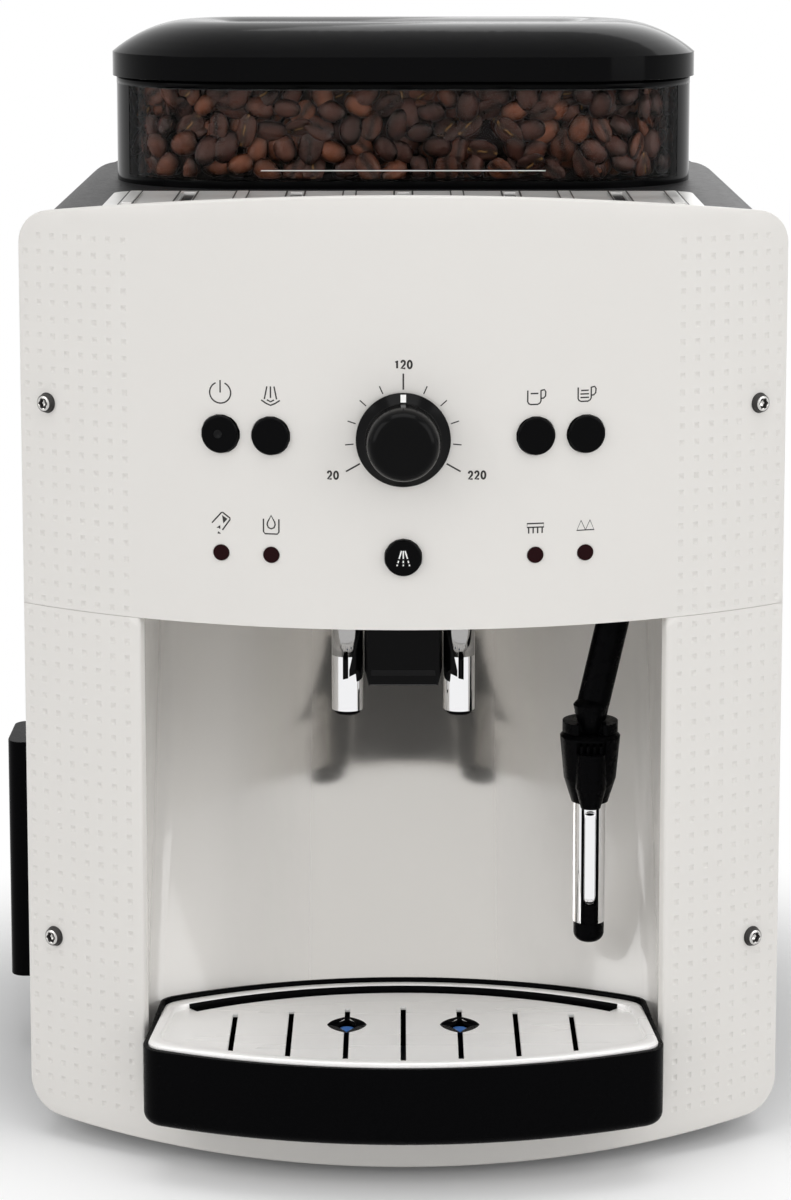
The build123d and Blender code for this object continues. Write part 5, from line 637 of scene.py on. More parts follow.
def blob(points):
    """Fine strokes side by side that fill the small shape with the given corners."""
    low, high = min(z for _, z in points), max(z for _, z in points)
    rows = max(2, round((high - low) / FILL_PITCH))
    strokes = []
    for i in range(rows):
        z = low + (high - low) * (i + 0.5) / rows
        cuts = []
        for (x0, z0), (x1, z1) in zip(points, points[1:] + points[:1]):
            if (z0 > z) != (z1 > z):
                cuts.append(x0 + (x1 - x0) * (z - z0) / (z1 - z0))
        cuts.sort()
        strokes += [[(a, z), (b, z)] for a, b in zip(cuts[::2], cuts[1::2])]
    return strokes


DIAL_SWEEP = 120
LONG_TICKS = (0, 5, 10)
TICK_NEAR = 15.4
TICK_FAR = 18.0
LONG_TICK_FAR = 20.4


def dial_tick(step, far):
    """Stroke of one tick, from the first at the left round to the last."""
    turn = radians(90 + DIAL_SWEEP - DIAL_SWEEP / 5 * step)
    return [(reach * cos(turn), KNOB_Z + reach * sin(turn)) for reach in (TICK_NEAR, far)]


short_ticks = [dial_tick(step, TICK_FAR) for step in range(11) if step not in LONG_TICKS]
printed("dial_ticks", short_ticks, width=0.36)
printed("dial_main_ticks", [dial_tick(step, LONG_TICK_FAR) for step in LONG_TICKS])
dial_numbers = number("120", 0, 261.2) + number("20", -21.7, 226.6) + number("220", 22.7, 226.6)
printed("dial_numbers", dial_numbers, width=0.62)

SIGN_Z = 250.4
LOW_SIGN_Z = 209.4
power = [arc((0, 0), 3.3, radians(115), radians(425), 28), [(0, 0), (0, 3.9)]]
steam = [[(0, 2.7), (0, -0.9)], [(-1.1, 2.7), (-1.9, -1.3)], [(1.1, 2.7), (1.9, -1.3)],
         [(-1.1, -1.5), (0, -2.1), (1.1, -1.5)],
         [(-2.9, -1.6), (-1.4, -2.6), (0, -3.2), (1.4, -2.6), (2.9, -1.6)]]
cup = [[(-2.6, 2.2), (-2.6, -1.3), (-2.3, -1.9), (-1.7, -2.2), (0.5, -2.2), (1.2, -1.8), (1.5, -1.2),
        (1.5, 2.2)],
       [(1.5, 2.1), (2.6, 2.3), (3.0, 1.6), (2.9, 0.3), (2.3, -0.3), (1.5, -0.4)],
       [(-1.7, 1.2), (0.7, 1.2)]]
tall_cup = cup + [[(-1.9, 0.1), (0.8, 0.1)], [(-1.9, -1.0), (0.8, -1.0)]]
grounds = [[(-2.9, -0.6), (0.1, 2.8), (0.5, 2.9), (2.8, 1.2), (2.8, 0.7), (0.4, -2.7)]]
grounds_fill = blob([(0.3, 2.0), (2.0, 0.9), (0.7, -0.6)]) + blob([(-0.3, -1.2), (-1.4, -2.0), (-0.2, -2.3)])
grounds_fill += blob([(-0.9, -3.2), (0.0, -3.9), (-1.2, -3.9)])
drop = [(0, 3.0), (1.1, 0.9), (1.25, 0.1), (0.9, -0.8), (0, -1.2), (-0.9, -0.8), (-1.25, 0.1),
        (-1.1, 0.9), (0, 3.0)]
water = [drop, [(-2.4, 1.9), (-2.4, -2.2), (-1.9, -2.8), (1.9, -2.8), (2.4, -2.2), (2.4, 1.9)]]
brush = [[(-2.6, 1.5), (2.6, 1.5), (2.6, 0.3), (-2.6, 0.3), (-2.6, 1.5)]]
brush += [[(x, 0.3), (x, -1.6)] for x in (-2.1, -0.7, 0.7, 2.1)]
crystals = [[(-2.7, -1.6), (-1.4, 1.5), (0, -1.6), (1.4, 1.5), (2.7, -1.6), (-2.7, -1.6)]]
signs = moved(power, -OUTER_X, SIGN_Z + 0.9) + moved(steam, -INNER_X, SIGN_Z + 0.7)
signs += moved(cup, INNER_X, SIGN_Z) + moved(tall_cup, OUTER_X, SIGN_Z + 0.4)
signs += moved(grounds, -OUTER_X, LOW_SIGN_Z + 1.4) + moved(water, -INNER_X, LOW_SIGN_Z + 1.0)
signs += moved(brush, INNER_X, LOW_SIGN_Z) + moved(crystals, OUTER_X, LOW_SIGN_Z + 0.3)
printed("front_signs", signs, width=0.44)
printed("grounds_sign_fill", moved(grounds_fill, -OUTER_X, LOW_SIGN_Z + 1.4), width=0.27)


# Marks on the buttons, each riding with its button

BUTTON_FACE = 1.6
MARK_LIFT = BUTTON_FACE + 0.03


def rinse_mark():
    """Three streams that spread downwards, in white on the rinse button."""
    strokes = []
    for lean in (-1, 0, 1):
        top_x, low_x = 0.55 * lean, 2.0 * lean
        for start, end in ((0.0, 0.5), (0.62, 0.76), (0.86, 0.96)):
            strokes.append([(top_x + (low_x - top_x) * s, 2.4 - 5.0 * s) for s in (start, end)])
    printed("rinse_mark", moved(strokes, 0, RINSE_Z), body="rinse_button",
            material=white_mark_and_highlight, width=0.42, lift=MARK_LIFT)


# Turned pieces on the bowed front. Screw sockets have six lobes.

LOBES = 6
LOBE_DEPTH = 0.13


def turned(profile, x, z, steps, lobed_from=99):
    """Rings of (radius, height over the bowed front) at one place, lobed from a ring on."""
    turn, base = asin(x / PANEL_RADIUS), bent(x, z)
    verts = []
    for ring, (radius, height) in enumerate(profile):
        depth = LOBE_DEPTH if ring >= lobed_from else 0
        for i in range(steps):
            a = 2 * pi * i / steps
            r = radius * (1 + depth * cos(LOBES * a))
            u, w = r * cos(a), r * sin(a)
            verts.append((base[0] + cos(turn) * u + sin(turn) * height,
                          base[1] + sin(turn) * u - cos(turn) * height, z + w))
    return verts


def lathe(name, profile, x, z, steps, material, body):
    """Closed turned piece on the bowed front."""
    verts = turned(profile, x, z, steps)
    return piece(name, verts, tube_faces(0, len(profile), steps), material, body)


KNOB_PROFILE = ((14.55, 0.75), (14.6, 0.9), (14.6, 1.95), (14.45, 2.1), (11.85, 4.45), (11.72, 4.62),
                (11.62, 5.2), (11.45, 8.5), (11.2, 11.6), (10.95, 12.8), (10.45, 14.0), (9.7, 14.95),
                (8.8, 15.55), (7.9, 15.82), (7.1, 15.82), (6.2, 15.6), (4.6, 15.1), (2.6, 14.75),
                (0.6, 14.65))
LIGHT_PROFILE = ((1.35, BUTTON_FACE - 0.3), (1.35, BUTTON_FACE + 0.16), (1.2, BUTTON_FACE + 0.24),
                 (0.95, BUTTON_FACE + 0.22), (0.9, BUTTON_FACE + 0.06))


def round_knob():
    """Turned dial knob: coned skirt, tall cap with a full edge and a shallow finger dish."""
    knob = lathe("dial_knob", KNOB_PROFILE, 0, KNOB_Z, 96, knob_black, "volume_dial")
    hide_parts("volume_knob")


# Steam wand and spout: thin strips on the front of upright tubes

WAND = (60.7, -105.0)
WAND_OUT = 5.42
WAND_INNER = 5.0
WAND_WALL = 0.18
SLOT_HALF = 2.05
FRAME_HALF = 2.85
SLOT_END = 77.6
FRAME_END = 70.9
BAND_TOP_Z = 112.0
INNER_TOP_Z = 108.4
INNER_CORNER = 0.9


def strip_columns(left, right, low, high, corner=0.0, count=10):
    """Columns of (x, low z, high z) across a strip, its lower corners rounded."""
    columns = []
    for i in range(count + 1):
        x = left + (right - left) * i / count
        past = max(0.0, corner - min(x - left, right - x))
        columns.append((x, low + corner - sqrt(max(0.0, corner**2 - past**2)), high))
    return columns


def tube_strip(name, centre, radius, columns, material, body, wall=0.14, rows=6):
    """Thin strip on the front of an upright tube, from columns of (x, low z, high z)."""
    verts, faces = [], []
    for layer in (radius, radius - wall):
        for x, low, high in columns:
            for j in range(rows + 1):
                y = centre[1] - sqrt(layer**2 - x**2)
                verts.append((centre[0] + x, y, low + (high - low) * j / rows))
    tall = rows + 1
    size = len(columns) * tall
    for a, b, c, d in quads(0, len(columns), tall, closed=False):
        faces += [(a, d, c, b), (size + a, size + b, size + c, size + d)]
    foot = size - tall
    rim = [*range(rows), *range(rows, size, tall), *range(size - 2, foot - 1, -1),
           *range(foot - tall, 0, -tall)]
    for a, b in zip(rim, rim[1:] + rim[:1]):
        faces.append((a, b, size + b, size + a))
    return piece(name, verts, faces, material, body)


def wand_slot():
    """Black frame round the long slot of the wand, with the bright inner tube behind it."""
    for name, left, right, high in (("left", -FRAME_HALF, -SLOT_HALF, BAND_TOP_Z),
                                    ("right", SLOT_HALF, FRAME_HALF, BAND_TOP_Z),
                                    ("low", -SLOT_HALF - 0.05, SLOT_HALF + 0.05, SLOT_END)):
        tube_strip("slot_frame_" + name, WAND, WAND_OUT, strip_columns(left, right, FRAME_END, high),
                   tray_black, "steam_nozzle", WAND_WALL, 12)
    half = SLOT_HALF - 0.12
    inner = strip_columns(-half, half, SLOT_END - 0.4, INNER_TOP_Z, INNER_CORNER)
    tube_strip("slot_inner_tube", WAND, WAND_INNER, inner, chrome, "steam_nozzle",
               WAND_WALL, 12)


NOZZLE_X = 18.1
NOZZLE_Y = -105.0
NOZZLE_SHOWN = 5.1
UPPER_SHADE_LOW = 160.0
UPPER_SHADE_TOP = 222.0
UPPER_SHADE_HALF = 4.9
ARM_NEAR = 0.7
ARM_WIDE = 4.35
ARM_LOW = 153.6
ARM_LOW_RISE = 1.8
ARM_HIGH = 155.6
ARM_SLOPE = 4.2
RIB_XS = (-1.4, -0.8, -0.2, 0.35)
RIB_LOW = 153.0
RIB_HIGH = 160.2


def spout_details():
    """Darker chrome over the upper part of each nozzle as painted shade and reflection, and the black arms
    that reach over them from the block.
    """
    for side, label in ((-1, "left"), (1, "right")):
        centre = (side * NOZZLE_X, NOZZLE_Y)
        upper_shade = strip_columns(-UPPER_SHADE_HALF, UPPER_SHADE_HALF, UPPER_SHADE_LOW, UPPER_SHADE_TOP, count=20)
        tube_strip("nozzle_upper_shade_" + label, centre, NOZZLE_SHOWN + 0.1, upper_shade, shaded_chrome,
                   "spout")
        arm = []
        for i in range(13):
            run = ARM_WIDE * i / 12
            low = ARM_LOW + ARM_LOW_RISE * run / ARM_WIDE
            high = min(UPPER_SHADE_TOP, ARM_HIGH + ARM_SLOPE * run)
            arm.append((-side * (ARM_NEAR + run), low, max(high, low + 0.3)))
        rib = [(-side * x, RIB_LOW + 0.25 * x, RIB_HIGH) for x in RIB_XS]
        for name, columns in (("nozzle_arm_", arm), ("nozzle_rib_", rib)):
            tube_strip(name + label, centre, NOZZLE_SHOWN + 0.22, columns, spout_black, "spout")


CHIN_LOW = 150.6
CHIN_TOP = 156.3
CHIN_LOW_Y = -110.66
CHIN_TOP_Y = -112.04
CHIN_LOW_HALF = 10.7
CHIN_TOP_HALF = 10.2


def spout_chin():
    """Lower face of the block in a lighter black as painted reflection, with a painted highlight strip along
    its foot.
    """
    low = CHIN_LOW + 0.5
    verts = [(-CHIN_LOW_HALF, CHIN_LOW_Y, low), (CHIN_LOW_HALF, CHIN_LOW_Y, low),
             (CHIN_TOP_HALF, CHIN_TOP_Y, CHIN_TOP), (-CHIN_TOP_HALF, CHIN_TOP_Y, CHIN_TOP)]
    piece("spout_chin", verts, [(0, 1, 2, 3)], chin_sheen_and_ring_black, "spout", smooth=False)
    # Painted highlight: a grey strip along the foot of the block
    y = CHIN_LOW_Y - 0.12
    verts = flat_strip(-CHIN_LOW_HALF, CHIN_LOW_HALF, (y, CHIN_LOW + 0.42), (y, CHIN_LOW + 0.62))
    piece("spout_chin_painted_highlight", verts, [(0, 1, 2, 3)], chin_edge_highlight_grey, "spout", smooth=False)


# Drip tray and grid

TRAY_HALF = 82.4
TRAY_BACK_HALF = 79.0
TRAY_FRONT_Y = -173.4
TRAY_SHOULDER_Y = -155.0
TRAY_BACK_CORNER_Y = -113.0
TRAY_BACK_Y = -92.5
FRONT_REACH = 5.5
BACK_REACH = 3.2
ARC_STEPS = 64
SIDE_POINTS = 13


def circle_run(half, end_y, middle_y):
    """Points of the arc from (-half, end_y) over (0, middle_y) to (half, end_y)."""
    rise = middle_y - end_y
    radius = (half**2 + rise**2) / (2 * abs(rise))
    up = 1 if rise > 0 else -1
    lean = asin(half / radius)
    turns = [-lean + 2 * lean * i / ARC_STEPS for i in range(ARC_STEPS + 1)]
    return [(radius * sin(turn), middle_y - up * radius * (1 - cos(turn))) for turn in turns]


def eased(before, corner, after, count=6):
    """Soft corner between two points, without both of them."""
    return [curve_point(before, corner, after, i / count) for i in range(1, count)]


def tray_plan(inset):
    """Plan of the tray's rim drawn in by inset: front run, right side, back run, left side."""
    half, back_half = TRAY_HALF - inset, TRAY_BACK_HALF - inset
    low, high = (half, TRAY_SHOULDER_Y + inset), (back_half, TRAY_BACK_CORNER_Y - inset)
    front = circle_run(half, low[1], TRAY_FRONT_Y + inset)[3:-3]
    back = circle_run(back_half, high[1], TRAY_BACK_Y - inset)[2:-2][::-1]
    length = hypot(high[0] - low[0], high[1] - low[1])
    side = []
    for i in range(SIDE_POINTS):
        run = FRONT_REACH + (length - FRONT_REACH - BACK_REACH) * i / (SIDE_POINTS - 1)
        side.append(tuple(low[k] + (high[k] - low[k]) * run / length for k in (0, 1)))
    right = eased(front[-1], low, side[0]) + side + eased(side[-1], high, back[0])
    return front + right + back + mirrored(right), len(front) + len(right), len(back)


GRID_TOP = 44.4
GRID_LOW = 43.2
SLOT_MID_Y = -139.0
SLOT_LENGTHS = (50.0, 46.0, 42.0, 36.0)
SLOT_HALF_WIDE = 0.83
RIM_PROFILE = ((1.8, 45.1), (1.84, 45.75), (2.1, 46.15), (2.7, 46.35), (4.5, 46.35), (4.9, 46.2),
               (5.08, 45.85), (5.14, 44.3))
CHANNEL = ((5.09, 45.95), (5.22, 45.8), (5.26, 44.52), (7.9, 44.5), (7.95, 44.4))


def grid_frame():
    """Pressed bright rim all round the grid, and the channel inside it at the back, in black as painted
    shade and reflection.
    """
    verts = []
    for inset, z in RIM_PROFILE:
        ring = tray_plan(inset)[0]
        verts += [(x, y, z) for x, y in ring]
    faces = quads(0, len(RIM_PROFILE), len(ring))
    piece("grid_frame", verts, faces, bright_steel, "grid")
    verts = []
    # Painted shade and reflection: the channel at the back is black
    for inset, z in CHANNEL:
        ring, start, long = tray_plan(inset)
        verts += [(x, y, z) for x, y in ring[start:start + long]]
    faces = quads(0, len(CHANNEL), long, closed=False)
    piece("grid_channel_painted_shade", verts, faces, tray_black, "grid")


LIP_LOW = 44.8
LIP_RISE = 2.5
LIP_PAST = 17
LIP_START_Y = TRAY_SHOULDER_Y + 12
LIP_GROWTH = 30
LIP_PROFILE = ((0.1, 0.0), (0.16, 0.75), (0.4, 1.0), (1.35, 1.0), (1.6, 0.75), (1.66, 0.0))


def tray_lip():
    """Raised black lip behind and beside the grid, that runs out towards the front."""
    verts = []
    for inset, rise in LIP_PROFILE:
        ring, start, long = tray_plan(inset)
        for i in range(start - LIP_PAST, start + long + LIP_PAST):
            x, y = ring[i % len(ring)]
            grown = min(1.0, max(0.0, (y - LIP_START_Y) / LIP_GROWTH))
            verts.append((x, y, LIP_LOW + LIP_RISE * rise * grown * grown * (3 - 2 * grown)))
    faces = quads(0, len(LIP_PROFILE), long + 2 * LIP_PAST, closed=False)
    piece("tray_lip", verts, faces, tray_black, "tray")


STAR_PITCH = 18.1
STAR_Y = -131.0
STAR_HALF_WIDTH = 6.0
STAR_HALF_LENGTH = 7.2
STAR_WAIST = 2.6
STAR_FULL_WAIST = 4.3
STAR_GROWN = 1.06
STAR_WALL_WAIST = 2.2
STAR_WALL_GROWN = 0.93
SHADE_LIFT = 0.02
FLOAT_TOP = ((2.75, 42.1), (2.75, 42.7), (2.4, 43.0), (1.2, 43.12))
FLOAT_STEPS = 28


def star_edge(middle, waist, grown=1.0, count=10):
    """Four-pointed outline whose sides bend in to the waist."""
    wide, long = STAR_HALF_WIDTH * grown, STAR_HALF_LENGTH * grown
    tips = [(wide, 0), (0, long), (-wide, 0), (0, -long), (wide, 0)]
    bends = ((waist, waist), (-waist, waist), (-waist, -waist), (waist, -waist))
    spots = []
    for start, end, bend in zip(tips, tips[1:], bends):
        pull = tuple(2 * bend[k] - (start[k] + end[k]) / 2 for k in (0, 1))
        spots += [curve_point(start, pull, end, i / count) for i in range(count)]
    return [(middle + x, STAR_Y + y) for x, y in spots]


def star_painted_shades():
    """Black rings round each star of the grid and black strips at the slot ends as painted shade in the
    openings, and the blue tops of the float below them.
    """
    verts, faces, tops, top_faces = [], [], [], []
    # Painted shade: black rings widen each star opening and line its wall
    for middle in (-STAR_PITCH, STAR_PITCH):
        rings = ((star_edge(middle, STAR_FULL_WAIST, STAR_GROWN), GRID_TOP + SHADE_LIFT),
                 (star_edge(middle, STAR_WAIST), GRID_TOP + SHADE_LIFT / 2),
                 (star_edge(middle, STAR_WALL_WAIST, STAR_WALL_GROWN), GRID_LOW))
        faces += quads(len(verts), len(rings), len(rings[0][0]))
        verts += [(x, y, z) for ring, z in rings for x, y in ring]
        top_faces += tube_faces(len(tops), len(FLOAT_TOP), FLOAT_STEPS)
        for radius, z in FLOAT_TOP:
            ring = arc((middle, STAR_Y), radius, 0, 2 * pi, FLOAT_STEPS)[:-1]
            tops += [(x, y, z) for x, y in ring]
    # Painted shade: a black strip on the far end wall of each slot
    for place in range(-3, 4):
        x, y = place * STAR_PITCH, SLOT_MID_Y + SLOT_LENGTHS[abs(place)] / 2 - 0.04
        faces.append(tuple(range(len(verts), len(verts) + 4)))
        verts += flat_strip(x - SLOT_HALF_WIDE, x + SLOT_HALF_WIDE, (y, GRID_LOW),
                            (y + 0.3, GRID_TOP + SHADE_LIFT))
    piece("star_and_slot_painted_shade", verts, faces, tray_black, "grid")
    piece("float_tops", tops, top_faces, float_blue, "float")


rinse_mark()
round_knob()
wand_slot()
spout_details()
spout_chin()
tray_lip()
grid_frame()
star_painted_shades()
lathe("power_light", LIGHT_PROFILE, -OUTER_X - 0.3, BUTTON_Z + 0.1, 28, chin_sheen_and_ring_black, "power_button")


# Button-head screws with a six-lobed socket

HEAD = 2.9
SHADOW_RING = 0.4
HEAD_LOW = 0.3
HEAD_TOP = 2.1
SOCKET_TOP = 1.6
SOCKET_LOW = 1.15
HEAD_STEPS = 48
HEAD_LOBED = 5
HEAD_PROFILE = ((HEAD, HEAD_LOW), (HEAD, HEAD_LOW + 0.5), (HEAD * 0.93, HEAD_TOP - 0.55),
                (HEAD * 0.78, HEAD_TOP - 0.12), (HEAD * 0.66, HEAD_TOP), (SOCKET_TOP, HEAD_TOP),
                (SOCKET_TOP * 0.97, HEAD_TOP - 0.15), (SOCKET_LOW, HEAD_LOW + 0.5))
# Painted shade: dark side of each head with a ring round it, and the inside of its socket
SIDE_SHADE = ((HEAD * 0.84, HEAD_TOP - 0.26), (HEAD * 0.95, HEAD_TOP - 0.53), (HEAD + 0.04, 1.0),
              (HEAD + 0.04, 0.06), (HEAD + SHADOW_RING, 0.03))
SOCKET_SHADE = ((SOCKET_TOP * 1.02, HEAD_TOP + 0.02), (SOCKET_TOP * 0.9, HEAD_TOP - 0.2),
                (SOCKET_LOW * 0.9, HEAD_LOW + 0.6))


def screws():
    """The four heads, and bands of painted shade and reflection round each head and in its socket."""
    verts, faces, bands, band_faces = [], [], [], []
    for x in (-SCREW_X, SCREW_X):
        for z in SCREW_ZS:
            faces += tube_faces(len(verts), len(HEAD_PROFILE), HEAD_STEPS)
            verts += turned(HEAD_PROFILE, x, z, HEAD_STEPS, HEAD_LOBED)
            for profile, lobed_from in ((SIDE_SHADE, len(SIDE_SHADE)), (SOCKET_SHADE, 0)):
                band_faces += quads(len(bands), len(profile), HEAD_STEPS)
                bands += turned(profile, x, z, HEAD_STEPS, lobed_from)
    heads = piece("screw_heads", verts, faces, screw_steel, "housing")
    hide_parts("fascia_screws")
    piece("screw_shadow_rings", bands, band_faces, print_ink_and_shade, "housing")


screws()


# Coffee beans that fill the hopper

BEAN_LONG = 6.0
BEAN_WIDE = 4.4
BEAN_BACK = 3.2
BEAN_BELLY = 1.3
BEAN_RINGS = 11
BEAN_SPOKES = 18
RING_FULLNESS = 0.82
GROOVE_HALF = 0.28
GROOVE_BEND = 0.16
GROOVE_DEPTH = 0.85
EGG_SHARE = 0.07
BELLY_PAINTED_LIGHT = 0.55
POLE_HEIGHT = 0.1


def bean_mesh():
    """Points, faces, crease and painted light of one bean: round back, flat belly, bent groove."""
    verts, crease, crown_light = [], [], []
    for i in range(1, BEAN_RINGS):
        lat = pi * i / BEAN_RINGS
        ring = sin(lat) ** RING_FULLNESS
        for j in range(BEAN_SPOKES):
            lon = 2 * pi * (j + 0.5) / BEAN_SPOKES
            x, y, z = cos(lat), ring * cos(lon), ring * sin(lon)
            # Painted light: strongest on top of the back, weaker on the belly, none in the groove
            groove, depth, high = 0.0, z * BEAN_BACK, z**2 * ring
            if z <= 0:
                if z < 0:
                    groove = max(0.0, 1 - abs(y + GROOVE_BEND * sin(x * 3)) / GROOVE_HALF)
                depth = z * BEAN_BELLY + GROOVE_DEPTH * groove * ring
                high = (1 - groove) * BELLY_PAINTED_LIGHT * ring
            verts.append((x * BEAN_LONG, y * BEAN_WIDE * (1 + EGG_SHARE * x), depth))
            crease.append(groove)
            crown_light.append(high)
    faces = quads(0, BEAN_RINGS - 1, BEAN_SPOKES)
    last = (BEAN_RINGS - 2) * BEAN_SPOKES
    top, low = len(verts), len(verts) + 1
    for j, k in looped(0, BEAN_SPOKES):
        faces += [(top, k, j), (low, last + j, last + k)]
    verts += [(BEAN_LONG, 0, POLE_HEIGHT), (-BEAN_LONG, 0, POLE_HEIGHT)]
    return verts, faces, crease + [0.0, 0.0], crown_light + [0.0, 0.0]


HOPPER_Y = 9.0
FILL_HALF_X = 97.0
FILL_HALF_Y = 46.0
FILL_CORNER = 42.0
FILL_LOW = 308.2
FILL_TOP = 337.0
FRONT_TOP = 339.6
SHOWN_BEHIND = 22
BELLY_SHARE = 0.42
TOP_BELLY_SHARE = 0.45
GOLDEN_SHARE = 0.4
KNOB_CLEAR = (46, 15.5)


def fill_edge(share, inset):
    """Point and outward turn along the plan of the fill, share from 0 to 1 round it."""
    corner = FILL_CORNER - inset
    flat_x, flat_y = FILL_HALF_X - FILL_CORNER, FILL_HALF_Y - FILL_CORNER
    bend = pi / 2 * corner
    run = share % 1 * 4 * (flat_x + flat_y + bend)
    x, y, turn = -flat_x, -flat_y, -pi / 2
    for length in (2 * flat_x, 2 * flat_y) * 2:
        along = min(run, length)
        x, y = x - sin(turn) * along, y + cos(turn) * along
        if run <= length + bend:
            turn += max(0.0, run - length) / corner
            break
        run -= length + bend
        turn += pi / 2
    return x + corner * cos(turn), y + corner * sin(turn), turn


def kept_in(x, y):
    """The point, drawn back to the plan of the fill where it lies outside it."""
    core_x = max(-(FILL_HALF_X - FILL_CORNER), min(FILL_HALF_X - FILL_CORNER, x))
    core_y = max(-(FILL_HALF_Y - FILL_CORNER), min(FILL_HALF_Y - FILL_CORNER, y))
    away = hypot(x - core_x, y - core_y)
    if away <= FILL_CORNER:
        return x, y
    return core_x + (x - core_x) * FILL_CORNER / away, core_y + (y - core_y) * FILL_CORNER / away


def bean_places(rng):
    """Centre, outward direction and belly side of each bean that can be seen."""
    places = []
    for inset, rows, pitch in ((4.9, 5, 9.4), (9.6, 5, 9.8)):
        count = round(500 / pitch)
        for row in range(rows):
            for i in range(count):
                share = (i + 0.5 * (row % 2) + rng.uniform(-0.25, 0.25)) / count
                x, y, turn = fill_edge(share, inset + rng.uniform(-1.0, 2.2))
                if y > SHOWN_BEHIND:
                    continue
                z = min(FILL_LOW + 3.2 + row * 6.7 + rng.uniform(-1.5, 1.5), FRONT_TOP - 3.4)
                out = Vector((cos(turn), sin(turn), 0))
                places.append((x, y, z, out, rng.random() < BELLY_SHARE))
    for i in range(-10, 11):
        for j in range(-5, 6):
            x = i * 8.8 + rng.uniform(-2, 2) + (j % 2) * 4.4
            y = j * 7.8 + rng.uniform(-1.6, 1.6)
            past_x = max(0, abs(x) - (FILL_HALF_X - FILL_CORNER))
            past_y = max(0, abs(y) - (FILL_HALF_Y - FILL_CORNER))
            off_knob = hypot(x - KNOB_CLEAR[0], y) > KNOB_CLEAR[1]
            if hypot(past_x, past_y) < FILL_CORNER - 8 and off_knob:
                z = FILL_TOP - 3.0 + rng.uniform(-1.4, 0.2)
                places.append((x, y, z, Vector((0, 0, 1)), rng.random() < TOP_BELLY_SHARE))
    return places


def fill_with_beans():
    """One mesh of loose beans against the window and over the top of the fill."""
    rng = random.Random(11)
    shape, shape_faces, crease, crown_light = bean_mesh()
    verts, faces, tones, chaff, shade, crown_lights = [], [], [], [], [], []
    for x, y, z, out, belly_out in bean_places(rng):
        size = rng.uniform(0.80, 1.02)
        side = Vector((0, 0, 1)).cross(out) if abs(out.z) < 0.5 else Vector((1, 0, 0))
        facing = Matrix((side, out.cross(side), out)).transposed()
        spin = Euler((0, 0, rng.uniform(0, 2 * pi))).to_matrix()
        lean = rng.uniform(-0.6, 0.6) + (pi if belly_out else 0)
        tilt = Euler((lean, rng.uniform(-0.45, 0.45), 0)).to_matrix()
        turn = facing @ spin @ tilt
        start = len(verts)
        for v in shape:
            p = turn @ Vector(v) * size
            px, py = kept_in(x + p.x, y + p.y)
            verts.append((px, py + HOPPER_Y, min(max(z + p.z, FILL_LOW - 0.3), FRONT_TOP)))
        faces += [tuple(start + k for k in face) for face in shape_faces]
        tones += [rng.random()] * len(shape)
        golden = 1.0 if rng.random() < GOLDEN_SHARE else 0.0
        chaff += [c * golden for c in crease]
        shade += crease
        crown_lights += crown_light
    made = piece("bean_heap", verts, faces, bean_material(), "housing")
    for name, values in (("tone", tones), ("chaff", chaff), ("crease", shade), ("crown_light", crown_lights)):
        made.data.attributes.new(name, "FLOAT", "POINT").data.foreach_set("value", values)
    return made


ROAST = ((0.12, (0.008, 0.0034, 0.0028, 1)), (0.55, (0.026, 0.0095, 0.0065, 1)),
         (0.92, (0.072, 0.024, 0.0115, 1)))
CHAFF_GOLD = (0.42, 0.22, 0.07, 1)
# Painted shade in the grooves of the beans
CREASE_PAINTED_SHADE = (0.002, 0.001, 0.001, 1)
BEAN_SHEEN = (1.0, 0.78, 0.68, 1)


def bean_material():
    """Dark to reddish roast by bean, with painted light on the crowns and painted shade towards the edges
    and in the grooves, fine wrinkles and golden chaff in some grooves.
    """
    made, tree, shader = node_tree("roast_beans")
    stored = {}
    for name in ("tone", "crown_light", "chaff", "crease"):
        stored[name] = new_node(tree, "ShaderNodeAttribute", {}, attribute_name=name).outputs["Fac"]
    cloud = maths(tree, "MULTIPLY", texture(tree, "ShaderNodeTexNoise", 230, Detail=5.0), 0.45)
    roast = maths(tree, "MULTIPLY_ADD", stored["tone"], 0.62, cloud)
    ramp = new_node(tree, "ShaderNodeValToRGB", {"Fac": roast})
    stops = ramp.color_ramp.elements
    stops.new(0.5)
    for stop, (place, color) in zip(stops, ROAST):
        stop.position, stop.color = place, color
    # Painted light and shade: the roast colour is scaled from darker at the edges to lighter on the crown
    painted_light_and_shade = remapped(tree, stored["crown_light"], 0.0, 0.8, 0.12, 2.2)
    toned = new_node(tree, "ShaderNodeVectorMath", {0: ramp.outputs["Color"], "Scale": painted_light_and_shade},
                     operation="SCALE")
    crease_shaded = blended(tree, stored["crease"], toned.outputs["Vector"], CREASE_PAINTED_SHADE)
    gloss = texture(tree, "ShaderNodeTexNoise", 300, Detail=2.0)
    wrinkle = texture(tree, "ShaderNodeTexNoise", 620, Detail=4.0)
    bump = new_node(tree, "ShaderNodeBump", {"Distance": 0.3 * MM, "Height": wrinkle})
    fill(tree, shader, {
        "Base Color": blended(tree, remapped(tree, stored["chaff"], 0.5, 1.0), crease_shaded, CHAFF_GOLD),
        "Roughness": remapped(tree, gloss, NOISE_LOW, NOISE_HIGH, 0.2, 0.38),
        "Normal": bump.outputs["Normal"], "Specular IOR Level": 0.2, "Specular Tint": BEAN_SHEEN,
    })
    return made


CORE_LEVELS = ((292.0, 24.0), (306.0, 11.0), (FILL_TOP - 7.0, 11.0))
CORE_STEPS = 72


def fill_plan(levels, shares):
    """Points along the plan of the fill, for levels of (height, inset) one after the other."""
    verts = []
    for z, inset in levels:
        for share in shares:
            x, y, _ = fill_edge(share, inset)
            verts.append((x, y + HOPPER_Y, z))
    return verts


